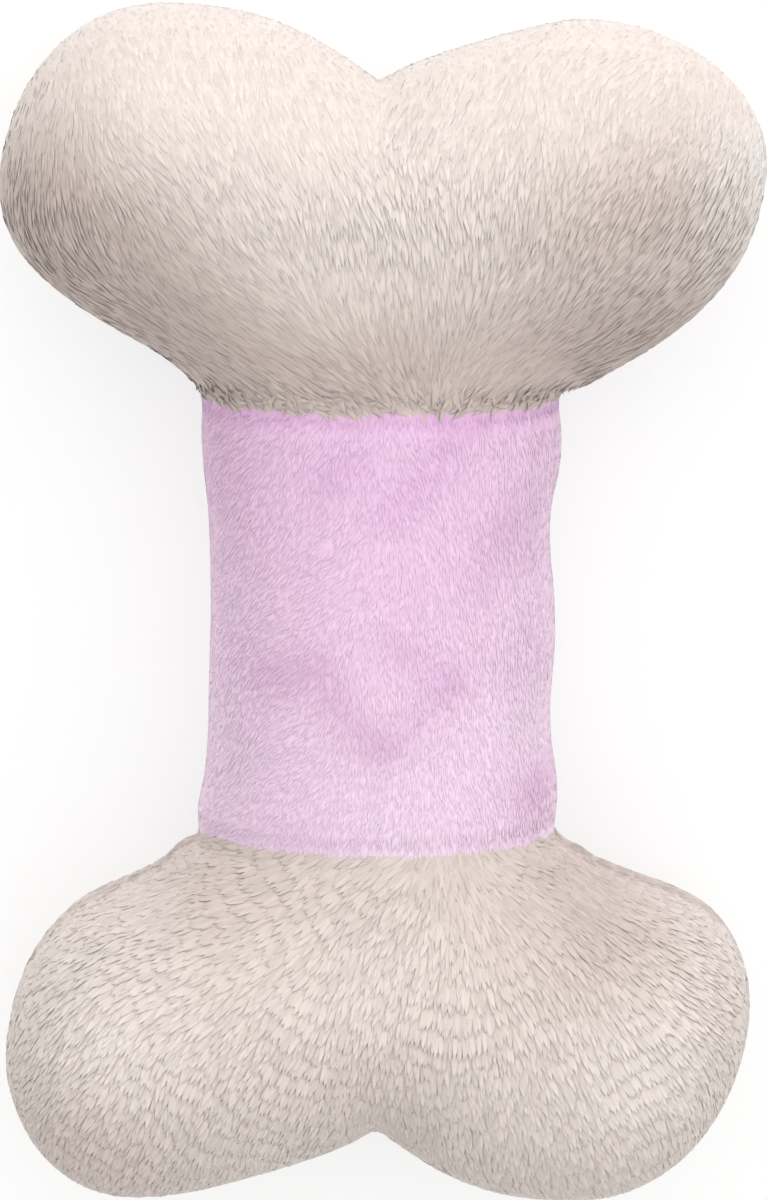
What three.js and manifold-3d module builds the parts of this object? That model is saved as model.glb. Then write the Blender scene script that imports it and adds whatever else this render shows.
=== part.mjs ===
// A stuffed bone-shaped squeaky toy for a dog, in millimetres with +Z up.
// It lies on its back: X runs across the bone, Y along it towards the head end, Z through its thickness.
// Six plush panels are sewn edge to edge, filled with fibre, and hold a squeaker in the middle of the shaft.
import * as THREE from "three";
import { mergeVertices } from "three/addons/utils/BufferGeometryUtils.js";
import Module from "manifold-3d";

const wasm = await Module();
wasm.setup();

// Driving dimensions of the outline.
// A knob's tip is its furthest point along the bone and wide its furthest point across it.
// under and fillet say how full the knob is below wide, and how round the corner into the shaft.
// ease says how far the crown of the knob runs in towards the notch.
const headLeft = { tipX: -27.3, tipY: 75, wideX: -46.7, wideY: 52.1, under: 14.3, fillet: 5.9, ease: 15 };
const headRight = { tipX: 23.7, tipY: 73, wideX: 47.5, wideY: 54.9, under: 19.9, fillet: 0.8, ease: 3 };
const footLeft = { tipX: -31.6, tipY: -74.5, wideX: -47.5, wideY: -56.5, under: 21.5, fillet: 0.8, ease: 8.4 };
const footRight = { tipX: 25.1, tipY: -75, wideX: 46.7, wideY: -49, under: 16.4, fillet: 2.2, ease: 15 };
const headNotch = { x: -0.1, y: 66 };
const footNotch = { x: -0.5, y: -66.4 };
const headSeamY = 27;
const footSeamY = -27.8;
const headNeckHalfWidth = 22.6;
const footNeckHalfWidth = 22.4;
const waistHalfWidth = 21.4;
// Shares that shape the curves: where a knob's crown leaves the notch, and how softly the shaft draws in.
const notchReach = 0.25;
const notchRise = 0.42;
const waistEase = 0.4;
const neckEase = 0.2;

// Driving dimensions of the thickness.
const knobHalfDepth = 21;
const neckHalfDepth = 17.5;
const squeakerSwell = 2.5;
const edgeRoll = 21;
const restFlat = 0.5;

// Cover, thread and filling.
const plushThickness = 2.5;
const seamGap = 0.3;
const threadDiameter = 0.8;
const threadEndGap = 1.5;
const fit = 0.3;
const crossThreadReach = 0.9;

// Squeaker: a bellows bulb with a reed pressed into its base.
const bulbRadius = 14;
const bulbHeight = 16;
const bulbWall = 1;
const crownDome = 2;
const rimHeight = 2.4;
const pleats = 3;
const pleatDepth = 1.6;
const cradleWall = 2.5;
const padInset = 0.6;
const sleeveRadius = 4;
const sleeveWall = 1;
const sleeveHeight = 7;
const flangeRadius = 5.5;
const flangeThickness = 1;
const reedBedFlat = 0.4;
const reedSlotWidth = 2.2;
const reedSlotDepth = 1.2;
const reedClampLength = 1.5;
const reedWidth = 1.8;
const reedThickness = 0.25;
const reedLength = 5.6;

// Fineness of the meshes.
const outlineSteps = 16;
const crownSteps = 6;
const shoulderSteps = 7;
const underSteps = 7;
const shaftRows = 8;
const panelColumns = 8;
const fillColumns = 4;
const neckFillRows = 3;
const domeSteps = 4;
const knobFillRows = crownSteps + shoulderSteps + 2;
const roundSides = 24;
const threadSides = 8;

// Heights worked out from the thickness.
const seamZ = knobHalfDepth + seamGap / 2 - restFlat;
const threadRadius = threadDiameter / 2;
const threadInset = plushThickness + fit + threadRadius;
const fillInset = plushThickness + fit + threadDiameter + fit;
const middleY = (headSeamY + footSeamY) / 2;
const bulbBottomZ = seamZ - bulbHeight / 2;
const bulbTopZ = seamZ + bulbHeight / 2;
const cradleReach = bulbRadius + fit + cradleWall;

const plushGrey = new THREE.MeshStandardMaterial({ color: 0xd9cdc6, roughness: 0.95, metalness: 0 });
const plushLilac = new THREE.MeshStandardMaterial({ color: 0xe4c0df, roughness: 0.95, metalness: 0 });
const threadGrey = new THREE.MeshStandardMaterial({ color: 0xc9bdb6, roughness: 0.7, metalness: 0 });
const threadLilac = new THREE.MeshStandardMaterial({ color: 0xd5acd0, roughness: 0.7, metalness: 0 });
const fibreWhite = new THREE.MeshStandardMaterial({ color: 0xf4f3ef, roughness: 1, metalness: 0 });
const bulbPlastic = new THREE.MeshStandardMaterial({ color: 0xdfe6ea, roughness: 0.45, metalness: 0 });
const reedPlastic = new THREE.MeshStandardMaterial({ color: 0xf2f0ea, roughness: 0.4, metalness: 0 });
const reedFilm = new THREE.MeshStandardMaterial({ color: 0xe8d9a8, roughness: 0.3, metalness: 0 });

// The outline of one side of the bone, as curves from the head notch to the foot notch.
// quarterTurn is the handle length that makes a cubic curve follow a quarter of an ellipse.
const curve = (...points) => new THREE.CubicBezierCurve(...points.map(([x, y]) => new THREE.Vector2(x, y)));
const quarterTurn = 0.5523;

function knobCurves(knob, notch, neckX, neckY) {
  const side = Math.sign(knob.wideX);
  const end = Math.sign(knob.tipY);
  const notchHandle = [
    notch.x + (knob.tipX - notch.x) * notchReach,
    notch.y + (knob.tipY - notch.y) * notchRise,
  ];
  return [
    curve([notch.x, notch.y], notchHandle, [knob.tipX - side * knob.ease, knob.tipY], [knob.tipX, knob.tipY]),
    curve(
      [knob.tipX, knob.tipY],
      [knob.tipX + (knob.wideX - knob.tipX) * quarterTurn, knob.tipY],
      [knob.wideX, knob.wideY + (knob.tipY - knob.wideY) * quarterTurn],
      [knob.wideX, knob.wideY],
    ),
    curve(
      [knob.wideX, knob.wideY],
      [knob.wideX, knob.wideY - end * knob.under],
      [neckX, neckY + end * knob.fillet],
      [neckX, neckY],
    ),
  ];
}

function shaftCurves(side) {
  const headNeck = [side * headNeckHalfWidth, headSeamY];
  const waist = [side * waistHalfWidth, middleY];
  const footNeck = [side * footNeckHalfWidth, footSeamY];
  const half = (headSeamY - footSeamY) / 2;
  const atWaist = half * waistEase;
  const atNeck = half * neckEase;
  return [
    curve(headNeck, [headNeck[0], headSeamY - atNeck], [waist[0], middleY + atWaist], waist),
    curve(waist, [waist[0], middleY - atWaist], [footNeck[0], footSeamY + atNeck], footNeck),
  ];
}

const sides = [
  { sign: -1, head: headLeft, foot: footLeft },
  { sign: 1, head: headRight, foot: footRight },
].map(({ sign, head, foot }) => ({
  sign,
  head: knobCurves(head, headNotch, sign * headNeckHalfWidth, headSeamY),
  shaft: shaftCurves(sign),
  foot: knobCurves(foot, footNotch, sign * footNeckHalfWidth, footSeamY),
}));

// Points and tangents along a knob, from its notch to its neck.
function stations(curves, steps) {
  const found = [];
  curves.forEach((part, n) => {
    for (let i = n ? 1 : 0; i <= steps[n]; i++) {
      const u = i / steps[n];
      found.push({ at: part.getPoint(u), along: part.getTangent(u) });
    }
  });
  return found;
}

// The whole outline as short straight lines, for measuring how far a point lies inside it.
const outlineCurves = sides.flatMap((s) => [...s.head, ...s.shaft, ...s.foot]);
const outline = outlineCurves.map((part) => part.getPoints(outlineSteps));

function distanceInside(x, y) {
  let best = Infinity;
  for (const line of outline) {
    for (let i = 1; i < line.length; i++) {
      const [a, b] = [line[i - 1], line[i]];
      const [dx, dy] = [b.x - a.x, b.y - a.y];
      const t = THREE.MathUtils.clamp(((x - a.x) * dx + (y - a.y) * dy) / (dx * dx + dy * dy), 0, 1);
      best = Math.min(best, Math.hypot(x - a.x - t * dx, y - a.y - t * dy));
    }
  }
  return best;
}

// Half the thickness of the stuffed bone along its length.
// The knobs swell, the necks draw in and the squeaker pushes the middle out.
function halfDepth(y) {
  const knobY = y > middleY ? (headLeft.wideY + headRight.wideY) / 2 : (footLeft.wideY + footRight.wideY) / 2;
  const seamY = y > middleY ? headSeamY : footSeamY;
  const share = (y - middleY) / (seamY - middleY);
  const bulge = share < 1 ? squeakerSwell * (1 - share * share) ** 2 : 0;
  const knob = THREE.MathUtils.smoothstep((y - seamY) / (knobY - seamY), 0, 1);
  return neckHalfDepth + (knobHalfDepth - neckHalfDepth) * knob + bulge;
}

// Height of the stuffed surface above the edge seam, for a skin that lies inset below the outer one.
function puff(x, y, inset) {
  const share = THREE.MathUtils.clamp((distanceInside(x, y) - inset) / (edgeRoll - inset), 0, 1);
  return (halfDepth(y) - inset) * Math.sqrt(1 - (1 - share) ** 2);
}

// A row crosses the bone from its left edge over the spine to its right edge.
function knobRows(end, inset) {
  const notch = end > 0 ? headNotch : footNotch;
  const seamY = end > 0 ? headSeamY : footSeamY;
  const edges = sides.map((s) =>
    stations(end > 0 ? s.head : s.foot, [crownSteps, shoulderSteps, underSteps]).map(({ at, along }, k) => {
      const inward = new THREE.Vector2(-along.y, along.x).multiplyScalar(-s.sign * end);
      if (k === 0) inward.set(0, -end);
      return at.clone().addScaledVector(inward, inset);
    }),
  );
  const last = edges[0].length - 1;
  return edges[0].map((left, k) => {
    const share = k / last;
    const spineY = THREE.MathUtils.lerp(notch.y - end * inset, seamY, share);
    return { left, right: edges[1][k], spine: new THREE.Vector2(notch.x * (1 - share), spineY) };
  });
}

function shaftRow(y, inset) {
  const [left, right] = sides.map((s) => {
    const line = s.shaft.flatMap((c) => c.getPoints(outlineSteps));
    const i = Math.max(1, line.findIndex((p) => p.y <= y + 1e-9));
    const [a, b] = [line[i - 1], line[i]];
    const t = THREE.MathUtils.clamp((a.y - y) / (a.y - b.y || 1), 0, 1);
    return new THREE.Vector2(THREE.MathUtils.lerp(a.x, b.x, t) - s.sign * inset, y);
  });
  return { left, right, spine: new THREE.Vector2(0, y) };
}

function rowBetween(a, b, share) {
  const mix = (key) => a[key].clone().lerp(b[key], share);
  return { left: mix("left"), right: mix("right"), spine: mix("spine") };
}

function spaced(from, to, steps) {
  return Array.from({ length: steps + 1 }, (_, i) => from + ((to - from) * i) / steps);
}

const shaftRowsBetween = (from, to, steps, inset) => spaced(from, to, steps).map((y) => shaftRow(y, inset));

// Places across a row, from -1 at the left edge to 1 at the right, closer together near the edges.
const across = (columns) => spaced(-1, 1, 2 * columns).map((v) => Math.sin((v * Math.PI) / 2));

// The surface over a set of rows. facing is 1 for the front of the toy and -1 for its back.
// lift raises it off the edge seam, spineShift moves its middle, and lowY and highY end it at a cross seam.
function surface(rows, places, inset, facing, options = {}) {
  const { lift = 0, spineShift = 0, lowY = -Infinity, highY = Infinity } = options;
  return rows.map(({ left, right, spine }) =>
    places.map((v) => {
      const start = spine.clone();
      start.x += spineShift;
      const p = start.lerp(v < 0 ? left : right, Math.abs(v));
      const height = Math.abs(v) === 1 ? 0 : puff(p.x, p.y, inset);
      const y = THREE.MathUtils.clamp(p.y, lowY, highY);
      return new THREE.Vector3(p.x, y, Math.max(0, seamZ + facing * (lift + height)));
    }),
  );
}

// A closed body between two surfaces with the same rows and columns.
function bodyBetween(top, bottom) {
  const corners = [];
  const quad = (a, b, c, d) => corners.push(a, b, c, a, c, d);
  const [rows, columns] = [top.length - 1, top[0].length - 1];
  for (let r = 0; r < rows; r++) {
    for (let c = 0; c < columns; c++) {
      quad(top[r][c], top[r + 1][c], top[r + 1][c + 1], top[r][c + 1]);
      quad(bottom[r][c], bottom[r][c + 1], bottom[r + 1][c + 1], bottom[r + 1][c]);
    }
    quad(top[r][0], bottom[r][0], bottom[r + 1][0], top[r + 1][0]);
    quad(top[r + 1][columns], bottom[r + 1][columns], bottom[r][columns], top[r][columns]);
  }
  for (let c = 0; c < columns; c++) {
    quad(top[0][c], top[0][c + 1], bottom[0][c + 1], bottom[0][c]);
    quad(top[rows][c + 1], top[rows][c], bottom[rows][c], bottom[rows][c + 1]);
  }
  return facingOut(new THREE.BufferGeometry().setFromPoints(corners));
}

// Merges shared corners, drops faces that have collapsed, and turns the body so that its faces point out.
function facingOut(geometry) {
  const merged = mergeVertices(geometry, 1e-3);
  const at = merged.attributes.position;
  const corner = (i) => new THREE.Vector3().fromBufferAttribute(at, i);
  const faces = [];
  let volume = 0;
  for (let i = 0; i < merged.index.count; i += 3) {
    const [a, b, c] = merged.index.array.slice(i, i + 3);
    if (a === b || b === c || a === c) continue;
    faces.push(a, b, c);
    volume += corner(a).dot(corner(b).cross(corner(c)));
  }
  merged.setIndex(volume < 0 ? faces.reverse() : faces);
  return merged;
}

// Solids for cutting and joining.
function solidOf(geometry) {
  const bare = geometry.clone();
  bare.deleteAttribute("normal");
  bare.deleteAttribute("uv");
  const merged = facingOut(bare.index ? bare.toNonIndexed() : bare);
  return new wasm.Manifold(
    new wasm.Mesh({
      numProp: 3,
      vertProperties: new Float32Array(merged.attributes.position.array),
      triVerts: new Uint32Array(merged.index.array),
    }),
  );
}

function geometryOf(solid) {
  const mesh = solid.getMesh();
  return new THREE.BufferGeometry()
    .setAttribute("position", new THREE.BufferAttribute(mesh.vertProperties, 3))
    .setIndex(new THREE.BufferAttribute(mesh.triVerts, 1));
}

// The part, and one named mesh for each piece in it.
const toy = new THREE.Group();

function piece(name, geometry, material, position = [0, 0, 0]) {
  const mesh = new THREE.Mesh(geometry, material);
  mesh.name = name;
  mesh.position.set(...position);
  toy.add(mesh);
  return mesh;
}

// Plush panels: shells of the fabric's thickness that meet at the edge seam and the two cross seams.
function panel(name, rowsAt, facing, material, limits) {
  const places = across(panelColumns);
  const options = { lift: seamGap / 2, ...limits };
  const outer = surface(rowsAt(0), places, 0, facing, options);
  const inner = surface(rowsAt(plushThickness), places, plushThickness, facing, options);
  piece(name, bodyBetween(outer, inner), material);
}

const headRowsAt = (inset) => knobRows(1, inset);
const shaftRowsAt = (inset) => shaftRowsBetween(headSeamY, footSeamY, shaftRows, inset);
const footRowsAt = (inset) => knobRows(-1, inset);
const headLimits = { lowY: headSeamY + seamGap / 2 };
const middleLimits = { lowY: footSeamY + seamGap / 2, highY: headSeamY - seamGap / 2 };
const footLimits = { highY: footSeamY - seamGap / 2 };
const faces = [["front", 1], ["back", -1]];
for (const [word, facing] of faces) {
  panel(`${word}_head_panel`, headRowsAt, facing, plushGrey, headLimits);
  panel(`${word}_middle_panel`, shaftRowsAt, facing, plushLilac, middleLimits);
  panel(`${word}_foot_panel`, footRowsAt, facing, plushGrey, footLimits);
}

// Sewing thread, as a round cord just inside the cover along each line of stitches.
function thread(name, points, steps, material) {
  const round = new THREE.Shape();
  round.absarc(0, 0, threadRadius, 0, 2 * Math.PI);
  const extrudePath = new THREE.CatmullRomCurve3(points);
  const tube = new THREE.ExtrudeGeometry(round, { steps, extrudePath, curveSegments: threadSides / 2 });
  piece(name, geometryOf(solidOf(tube)), material);
}

function knobEdgeThread(name, end) {
  const rows = knobRows(end, threadInset).slice(0, -1);
  const flat = (p) => new THREE.Vector3(p.x, p.y, seamZ);
  const leftEdge = rows.map((row) => flat(row.left)).reverse();
  const rightEdge = rows.slice(1).map((row) => flat(row.right));
  const points = [...leftEdge, ...rightEdge];
  thread(name, points, points.length - 1, threadGrey);
}

knobEdgeThread("head_edge_thread", 1);
knobEdgeThread("foot_edge_thread", -1);

const sideThreadFrom = headSeamY - threadEndGap;
const sideThreadTo = footSeamY + threadEndGap;
const sideThreadRows = shaftRowsBetween(sideThreadFrom, sideThreadTo, shaftRows, threadInset);
for (const [name, edge] of [["left_side_thread", "left"], ["right_closing_thread", "right"]]) {
  const points = sideThreadRows.map((row) => new THREE.Vector3(row[edge].x, row[edge].y, seamZ));
  thread(name, points, shaftRows, threadLilac);
}

const crossPlaces = across(panelColumns + 1).map((v) => v * crossThreadReach);
for (const [seam, seamY] of [["upper", headSeamY], ["lower", footSeamY]]) {
  for (const [word, facing] of faces) {
    const [points] = surface([shaftRow(seamY, threadInset)], crossPlaces, threadInset, facing);
    thread(`${word}_${seam}_cross_thread`, points, points.length - 1, threadLilac);
  }
}

// Fibre filling, pushed in as separate handfuls: one in each knob, one in each neck, two around the squeaker.
function filling(name, rows, places, options) {
  const [front, back] = faces.map(([, facing]) => surface(rows, places, fillInset, facing, options));
  piece(name, bodyBetween(front, back), fibreWhite);
}

const leftPlaces = across(fillColumns).filter((v) => v <= 0);
const rightPlaces = across(fillColumns).filter((v) => v >= 0);
for (const [word, end] of [["head", 1], ["foot", -1]]) {
  const seamY = end > 0 ? headSeamY : footSeamY;
  const rows = knobRows(end, fillInset);
  const knob = rows.slice(1, knobFillRows + 1);
  filling(`${word}_left_knob_filling`, knob, leftPlaces, { spineShift: -fit / 2 });
  filling(`${word}_right_knob_filling`, knob, rightPlaces, { spineShift: fit / 2 });
  const cradleEnd = middleY + end * (cradleReach + fit);
  const inShaft = shaftRowsBetween(cradleEnd, seamY, neckFillRows, fillInset);
  const spineStep = Math.abs(rows[1].spine.y - rows[0].spine.y);
  const start = rowBetween(rows[knobFillRows], rows[knobFillRows + 1], fit / spineStep);
  const inKnob = [...rows.slice(knobFillRows + 1, -1).reverse(), start];
  filling(`${word}_neck_filling`, [...inShaft, ...inKnob], across(fillColumns));
}

// Round pieces are turned profiles of [radius, height], stood on the middle of the shaft.
function turned(profile) {
  const lathe = new THREE.LatheGeometry(profile.map(([r, z]) => new THREE.Vector2(r, z)), roundSides);
  return geometryOf(solidOf(lathe.rotateX(Math.PI / 2)));
}
const closed = (profile) => [...profile, profile[0]];
const onSqueaker = (z) => [0, middleY, z];

function column(radius, fromZ, toZ) {
  const round = new THREE.CylinderGeometry(radius, radius, toZ - fromZ, roundSides).rotateX(Math.PI / 2);
  return solidOf(round.translate(0, middleY, (fromZ + toZ) / 2));
}

// The filling round the squeaker is a cradle that is open to the front, with a pad lying on the bulb's crown.
const shaftFill = shaftRowsBetween(middleY + cradleReach, middleY - cradleReach, shaftRows, fillInset);
const cradlePlaces = across(fillColumns + 1);
const [fillFront, fillBack] = faces.map(([, facing]) => surface(shaftFill, cradlePlaces, fillInset, facing));
const shaftBlock = solidOf(bodyBetween(fillFront, fillBack));
const aboveToy = seamZ + 2 * knobHalfDepth;
const flangeBottomZ = bulbBottomZ - fit - flangeThickness;
const bulbSpace = column(bulbRadius + fit, flangeBottomZ - fit, aboveToy);
piece("shaft_filling", geometryOf(shaftBlock.subtract(bulbSpace)), fibreWhite);
const padSpace = column(bulbRadius - padInset, bulbTopZ + fit, aboveToy);
piece("front_pad_filling", geometryOf(shaftBlock.intersect(padSpace)), fibreWhite);

// Squeaker bulb: base and crown joined by a pleated wall.
const holeRadius = sleeveRadius + fit;
const baseProfile = [
  [holeRadius, 0],
  [bulbRadius, 0],
  [bulbRadius, rimHeight],
  [bulbRadius - bulbWall, rimHeight],
  [bulbRadius - bulbWall, bulbWall],
  [holeRadius, bulbWall],
];
piece("squeaker_base", turned(closed(baseProfile)), bulbPlastic, onSqueaker(bulbBottomZ));

const crownRimZ = bulbHeight - crownDome - rimHeight;
const domeAt = (r) => crownDome * (1 - (r / bulbRadius) ** 2);
const domeRadii = spaced(0, bulbRadius - bulbWall, domeSteps);
const crownProfile = [
  ...domeRadii.map((r) => [r, bulbHeight - crownDome - bulbWall + domeAt(r)]),
  [bulbRadius - bulbWall, crownRimZ],
  [bulbRadius, crownRimZ],
  [bulbRadius, bulbHeight - crownDome],
  ...domeRadii.map((r) => [r, bulbHeight - crownDome + domeAt(r)]).reverse(),
];
piece("squeaker_crown", turned(crownProfile), bulbPlastic, onSqueaker(bulbBottomZ));

const wallFrom = rimHeight + fit;
const wallTo = crownRimZ - fit;
const folds = spaced(wallFrom, wallTo, 2 * pleats).map((z, i) => [bulbRadius - (i % 2 ? pleatDepth : 0), z]);
const insideFolds = folds.map(([r, z]) => [r - bulbWall, z]).reverse();
piece("squeaker_bellows", turned(closed([...folds, ...insideFolds])), bulbPlastic, onSqueaker(bulbBottomZ));

// Reed: a sleeve through the base, a half-round bed inside it, and a thin tongue over the bed's slot.
const boreRadius = sleeveRadius - sleeveWall;
const sleeveProfile = [
  [boreRadius, -fit - flangeThickness],
  [flangeRadius, -fit - flangeThickness],
  [flangeRadius, -fit],
  [sleeveRadius, -fit],
  [sleeveRadius, sleeveHeight],
  [boreRadius, sleeveHeight],
];
piece("reed_sleeve", turned(closed(sleeveProfile)), reedPlastic, onSqueaker(bulbBottomZ));

const bedRadius = boreRadius - fit;
const bedAngle = Math.asin(reedBedFlat / bedRadius);
const bedOutline = new THREE.Shape();
bedOutline.absarc(0, 0, bedRadius, bedAngle, Math.PI - bedAngle, true);
const bedLength = sleeveHeight + fit + flangeThickness;
const bedShape = { depth: bedLength, bevelEnabled: false, curveSegments: roundSides };
const bedBar = new THREE.ExtrudeGeometry(bedOutline, bedShape);
const slotLength = bedLength - reedClampLength;
const slot = new THREE.BoxGeometry(reedSlotWidth, 2 * reedSlotDepth, 2 * slotLength);
slot.translate(0, reedBedFlat, reedClampLength + slotLength);
const bed = solidOf(bedBar).subtract(solidOf(slot));
piece("reed_bed", geometryOf(bed), reedPlastic, onSqueaker(flangeBottomZ));

const tongue = new THREE.BoxGeometry(reedWidth, reedThickness, reedLength);
const tongueY = middleY + reedBedFlat + fit + reedThickness / 2;
piece("reed_tongue", tongue, reedFilm, [0, tongueY, flangeBottomZ + fit + reedLength / 2]);

export default toy;
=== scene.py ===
# %% [markdown]
# # A stuffed plush bone that squeaks
# The toy is a cover of six plush panels, filled with fibre round a squeaker. The solid model gives every
# piece its size and place. Here the cover is blown up like a real stuffed toy, gets its pile, its seams
# and its filling, and some pieces are tied to the shaft or the press pad.

# %% Load the solid model
import math
import bmesh
import bpy
import numpy as np
from mathutils import Matrix, Vector, bvhtree, kdtree, noise


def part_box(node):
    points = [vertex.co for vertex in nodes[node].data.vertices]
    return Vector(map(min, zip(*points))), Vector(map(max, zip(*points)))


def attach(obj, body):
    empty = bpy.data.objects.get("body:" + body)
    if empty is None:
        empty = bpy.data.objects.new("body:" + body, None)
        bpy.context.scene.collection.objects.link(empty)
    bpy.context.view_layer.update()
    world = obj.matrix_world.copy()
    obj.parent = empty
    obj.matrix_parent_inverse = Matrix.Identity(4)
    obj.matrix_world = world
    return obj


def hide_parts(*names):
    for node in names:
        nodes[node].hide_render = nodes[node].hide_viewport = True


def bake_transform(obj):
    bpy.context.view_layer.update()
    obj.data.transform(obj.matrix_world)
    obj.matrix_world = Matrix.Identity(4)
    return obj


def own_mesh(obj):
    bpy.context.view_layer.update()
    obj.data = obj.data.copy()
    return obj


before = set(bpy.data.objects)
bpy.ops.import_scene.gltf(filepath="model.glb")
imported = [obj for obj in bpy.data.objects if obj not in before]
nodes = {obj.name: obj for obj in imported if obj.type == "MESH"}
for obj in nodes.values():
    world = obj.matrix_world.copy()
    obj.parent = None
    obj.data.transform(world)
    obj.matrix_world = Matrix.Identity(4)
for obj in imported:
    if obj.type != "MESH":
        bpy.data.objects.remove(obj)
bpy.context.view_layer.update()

MM = 0.001

# %% [markdown]
# ## The cover's outer skin
# The panels in the solid model are shells with an inside, an outside and edges. Only the outside shows,
# so a ray is sent from each face along its normal: a face whose ray escapes lies on the outside. The seam
# gaps between panels are narrower than half a millimetre, so merging close points sews the panels
# together, and every edge between two different panels is a seam.

# %% Keep the faces that look outwards
PANELS = ["front_head", "back_head", "front_middle", "back_middle", "front_foot", "back_foot"]
SEAM_GAP = 0.6 * MM
RAY_START = 0.05 * MM
TINY = 0.001 * MM


def panel_triangles():
    """Corner points of every panel triangle, with the number of the panel it belongs to."""
    corners, owner = [], []
    for number, name in enumerate(PANELS):
        mesh = nodes[name + "_panel"].data
        for polygon in mesh.polygons:
            corners.append([mesh.vertices[i].co.copy() for i in polygon.vertices])
            owner.append(number)
    return corners, owner


corners, owner = panel_triangles()
flat = [point for triangle in corners for point in triangle]
walls = bvhtree.BVHTree.FromPolygons(flat, [(i, i + 1, i + 2) for i in range(0, len(flat), 3)])
skin = bmesh.new()
panel_of = skin.faces.layers.int.new("panel")
for triangle, number in zip(corners, owner):
    a, b, c = triangle
    normal = (b - a).cross(c - a).normalized()
    start = (a + b + c) / 3 + normal * RAY_START
    if walls.ray_cast(start, normal)[0] is None:
        face = skin.faces.new([skin.verts.new(point) for point in triangle])
        face[panel_of] = number
bmesh.ops.remove_doubles(skin, verts=skin.verts, dist=SEAM_GAP)
bmesh.ops.dissolve_degenerate(skin, edges=skin.edges, dist=TINY)
reached = {max(skin.faces, key=lambda face: face.calc_center_median().z)}
front_line = list(reached)
while front_line:
    beside = {other for face in front_line for edge in face.edges for other in edge.link_faces}
    front_line = list(beside - reached)
    reached |= beside
bmesh.ops.delete(skin, geom=[face for face in skin.faces if face not in reached], context="FACES")
for edge in skin.edges:
    edge.seam = len({face[panel_of] for face in edge.link_faces}) > 1
bmesh.ops.join_triangles(
    skin, faces=skin.faces, cmp_seam=True, angle_face_threshold=math.pi, angle_shape_threshold=math.pi
)
open_edges = [edge for edge in skin.edges if len(edge.link_faces) != 2]
on_seams = sum(edge.seam for edge in skin.edges)
print("outer skin", len(skin.faces), "faces,", on_seams, "seam edges,", len(open_edges), "open")

# %% [markdown]
# ## Camera
# The toy lies on a pale floor and is seen from above. The camera leans a little towards the head end,
# which bows both cross seams the same way. It is aimed so that the bone fills the picture from edge to
# edge.

# %% Set up the camera
CAMERA_LEAN = math.radians(9)
CAMERA_DISTANCE = 520 * MM
FILL_OF_HEIGHT = 0.997
AIMING_ROUNDS = 6

camera_data = bpy.data.cameras.new("camera")
camera = bpy.data.objects.new("camera", camera_data)
bpy.context.scene.collection.objects.link(camera)
bpy.context.scene.camera = camera
camera_data.sensor_fit = "VERTICAL"
look = Vector((0, -math.sin(CAMERA_LEAN), -math.cos(CAMERA_LEAN)))
right = Vector((1, 0, 0))
up = right.cross(look)


def seen_from(position, points):
    """How far each point lies right and up of the line of sight, as tangents."""
    away = points - np.array(position)
    depth = away @ np.array(look)
    return away @ np.array(right) / depth, away @ np.array(up) / depth


cover_points = np.array([vertex.co for vertex in skin.verts])
target = Vector((0, 0, cover_points[:, 2].mean()))
for _ in range(AIMING_ROUNDS):
    position = target - look * CAMERA_DISTANCE
    across, along = seen_from(position, cover_points)
    off_centre = right * (across.max() + across.min()) / 2 + up * (along.max() + along.min()) / 2
    target += CAMERA_DISTANCE * off_centre
camera.location = position
camera.rotation_euler = Matrix((right, up, -look)).transposed().to_euler()
camera_data.angle_y = 2 * math.atan((along.max() - along.min()) / 2 / FILL_OF_HEIGHT)
view_angle = round(math.degrees(camera_data.angle_y), 2)
print("camera at", [round(c / MM) for c in position], "sees", view_angle, "degrees")
print("width over height", round((across.max() - across.min()) / (along.max() - along.min()), 4))

# %% [markdown]
# ## Blowing up the cover
# A stuffed toy gets its shape from filling that presses on flat-cut fabric, while the stitches hold the
# seams back. Cloth simulation does the same: the seams are pinned, the fabric is a little too large for
# its outline, and air pressure pushes it out. Between the pinned seams it swells and puckers. The
# movement is capped, so that the toy keeps the size of the solid model. Subdividing rounds a mesh off and
# would shrink it, so its points are first moved out by as much as rounding takes them in. The skin starts
# inside the solid's outside, because the pile will stand on it.

# %% Put the skin in a mesh and subdivide it
SKIN_DEPTH = 0.1 * MM
SUBDIVISIONS = 2
FITTING_ROUNDS = 4


def new_piece(name, mesh):
    """A new object at the origin for a mesh."""
    piece = bpy.data.objects.new(name, mesh)
    bpy.context.scene.collection.objects.link(piece)
    return piece


def finished_mesh(piece):
    """The mesh of an object with its modifiers applied."""
    graph = bpy.context.evaluated_depsgraph_get()
    finished = piece.evaluated_get(graph)
    return bpy.data.meshes.new_from_object(finished, preserve_all_data_layers=True, depsgraph=graph)


def apply_modifiers(piece):
    """Replaces an object's mesh by its finished mesh and removes the modifiers."""
    mesh = finished_mesh(piece)
    piece.modifiers.clear()
    old, piece.data = piece.data, mesh
    bpy.data.meshes.remove(old)


def add_rounding(piece, levels):
    """Adds a modifier that rounds a mesh by splitting every face."""
    modifier = piece.modifiers.new("subdivide", "SUBSURF")
    modifier.levels = modifier.render_levels = levels


def subdivide(piece):
    """Rounds a mesh by splitting every face once."""
    add_rounding(piece, 1)
    apply_modifiers(piece)


def fit_to_rounding(piece, levels, rounds):
    """Moves a mesh's points out until the subdivided mesh passes through where they were."""
    wanted = points_of(piece.data)
    for _ in range(rounds):
        add_rounding(piece, levels)
        rounded = finished_mesh(piece)
        piece.modifiers.clear()
        missing = wanted - points_of(rounded)[:len(wanted)]
        bpy.data.meshes.remove(rounded)
        set_points(piece.data, points_of(piece.data) + missing)
    print("rounding misses the solid by up to", round(abs(missing).max() / MM, 3), "mm")


def points_of(mesh):
    """The places of a mesh's points, one row for each."""
    values = np.empty(len(mesh.vertices) * 3, np.float32)
    mesh.vertices.foreach_get("co", values)
    return values.reshape(-1, 3).astype(float)


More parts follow.
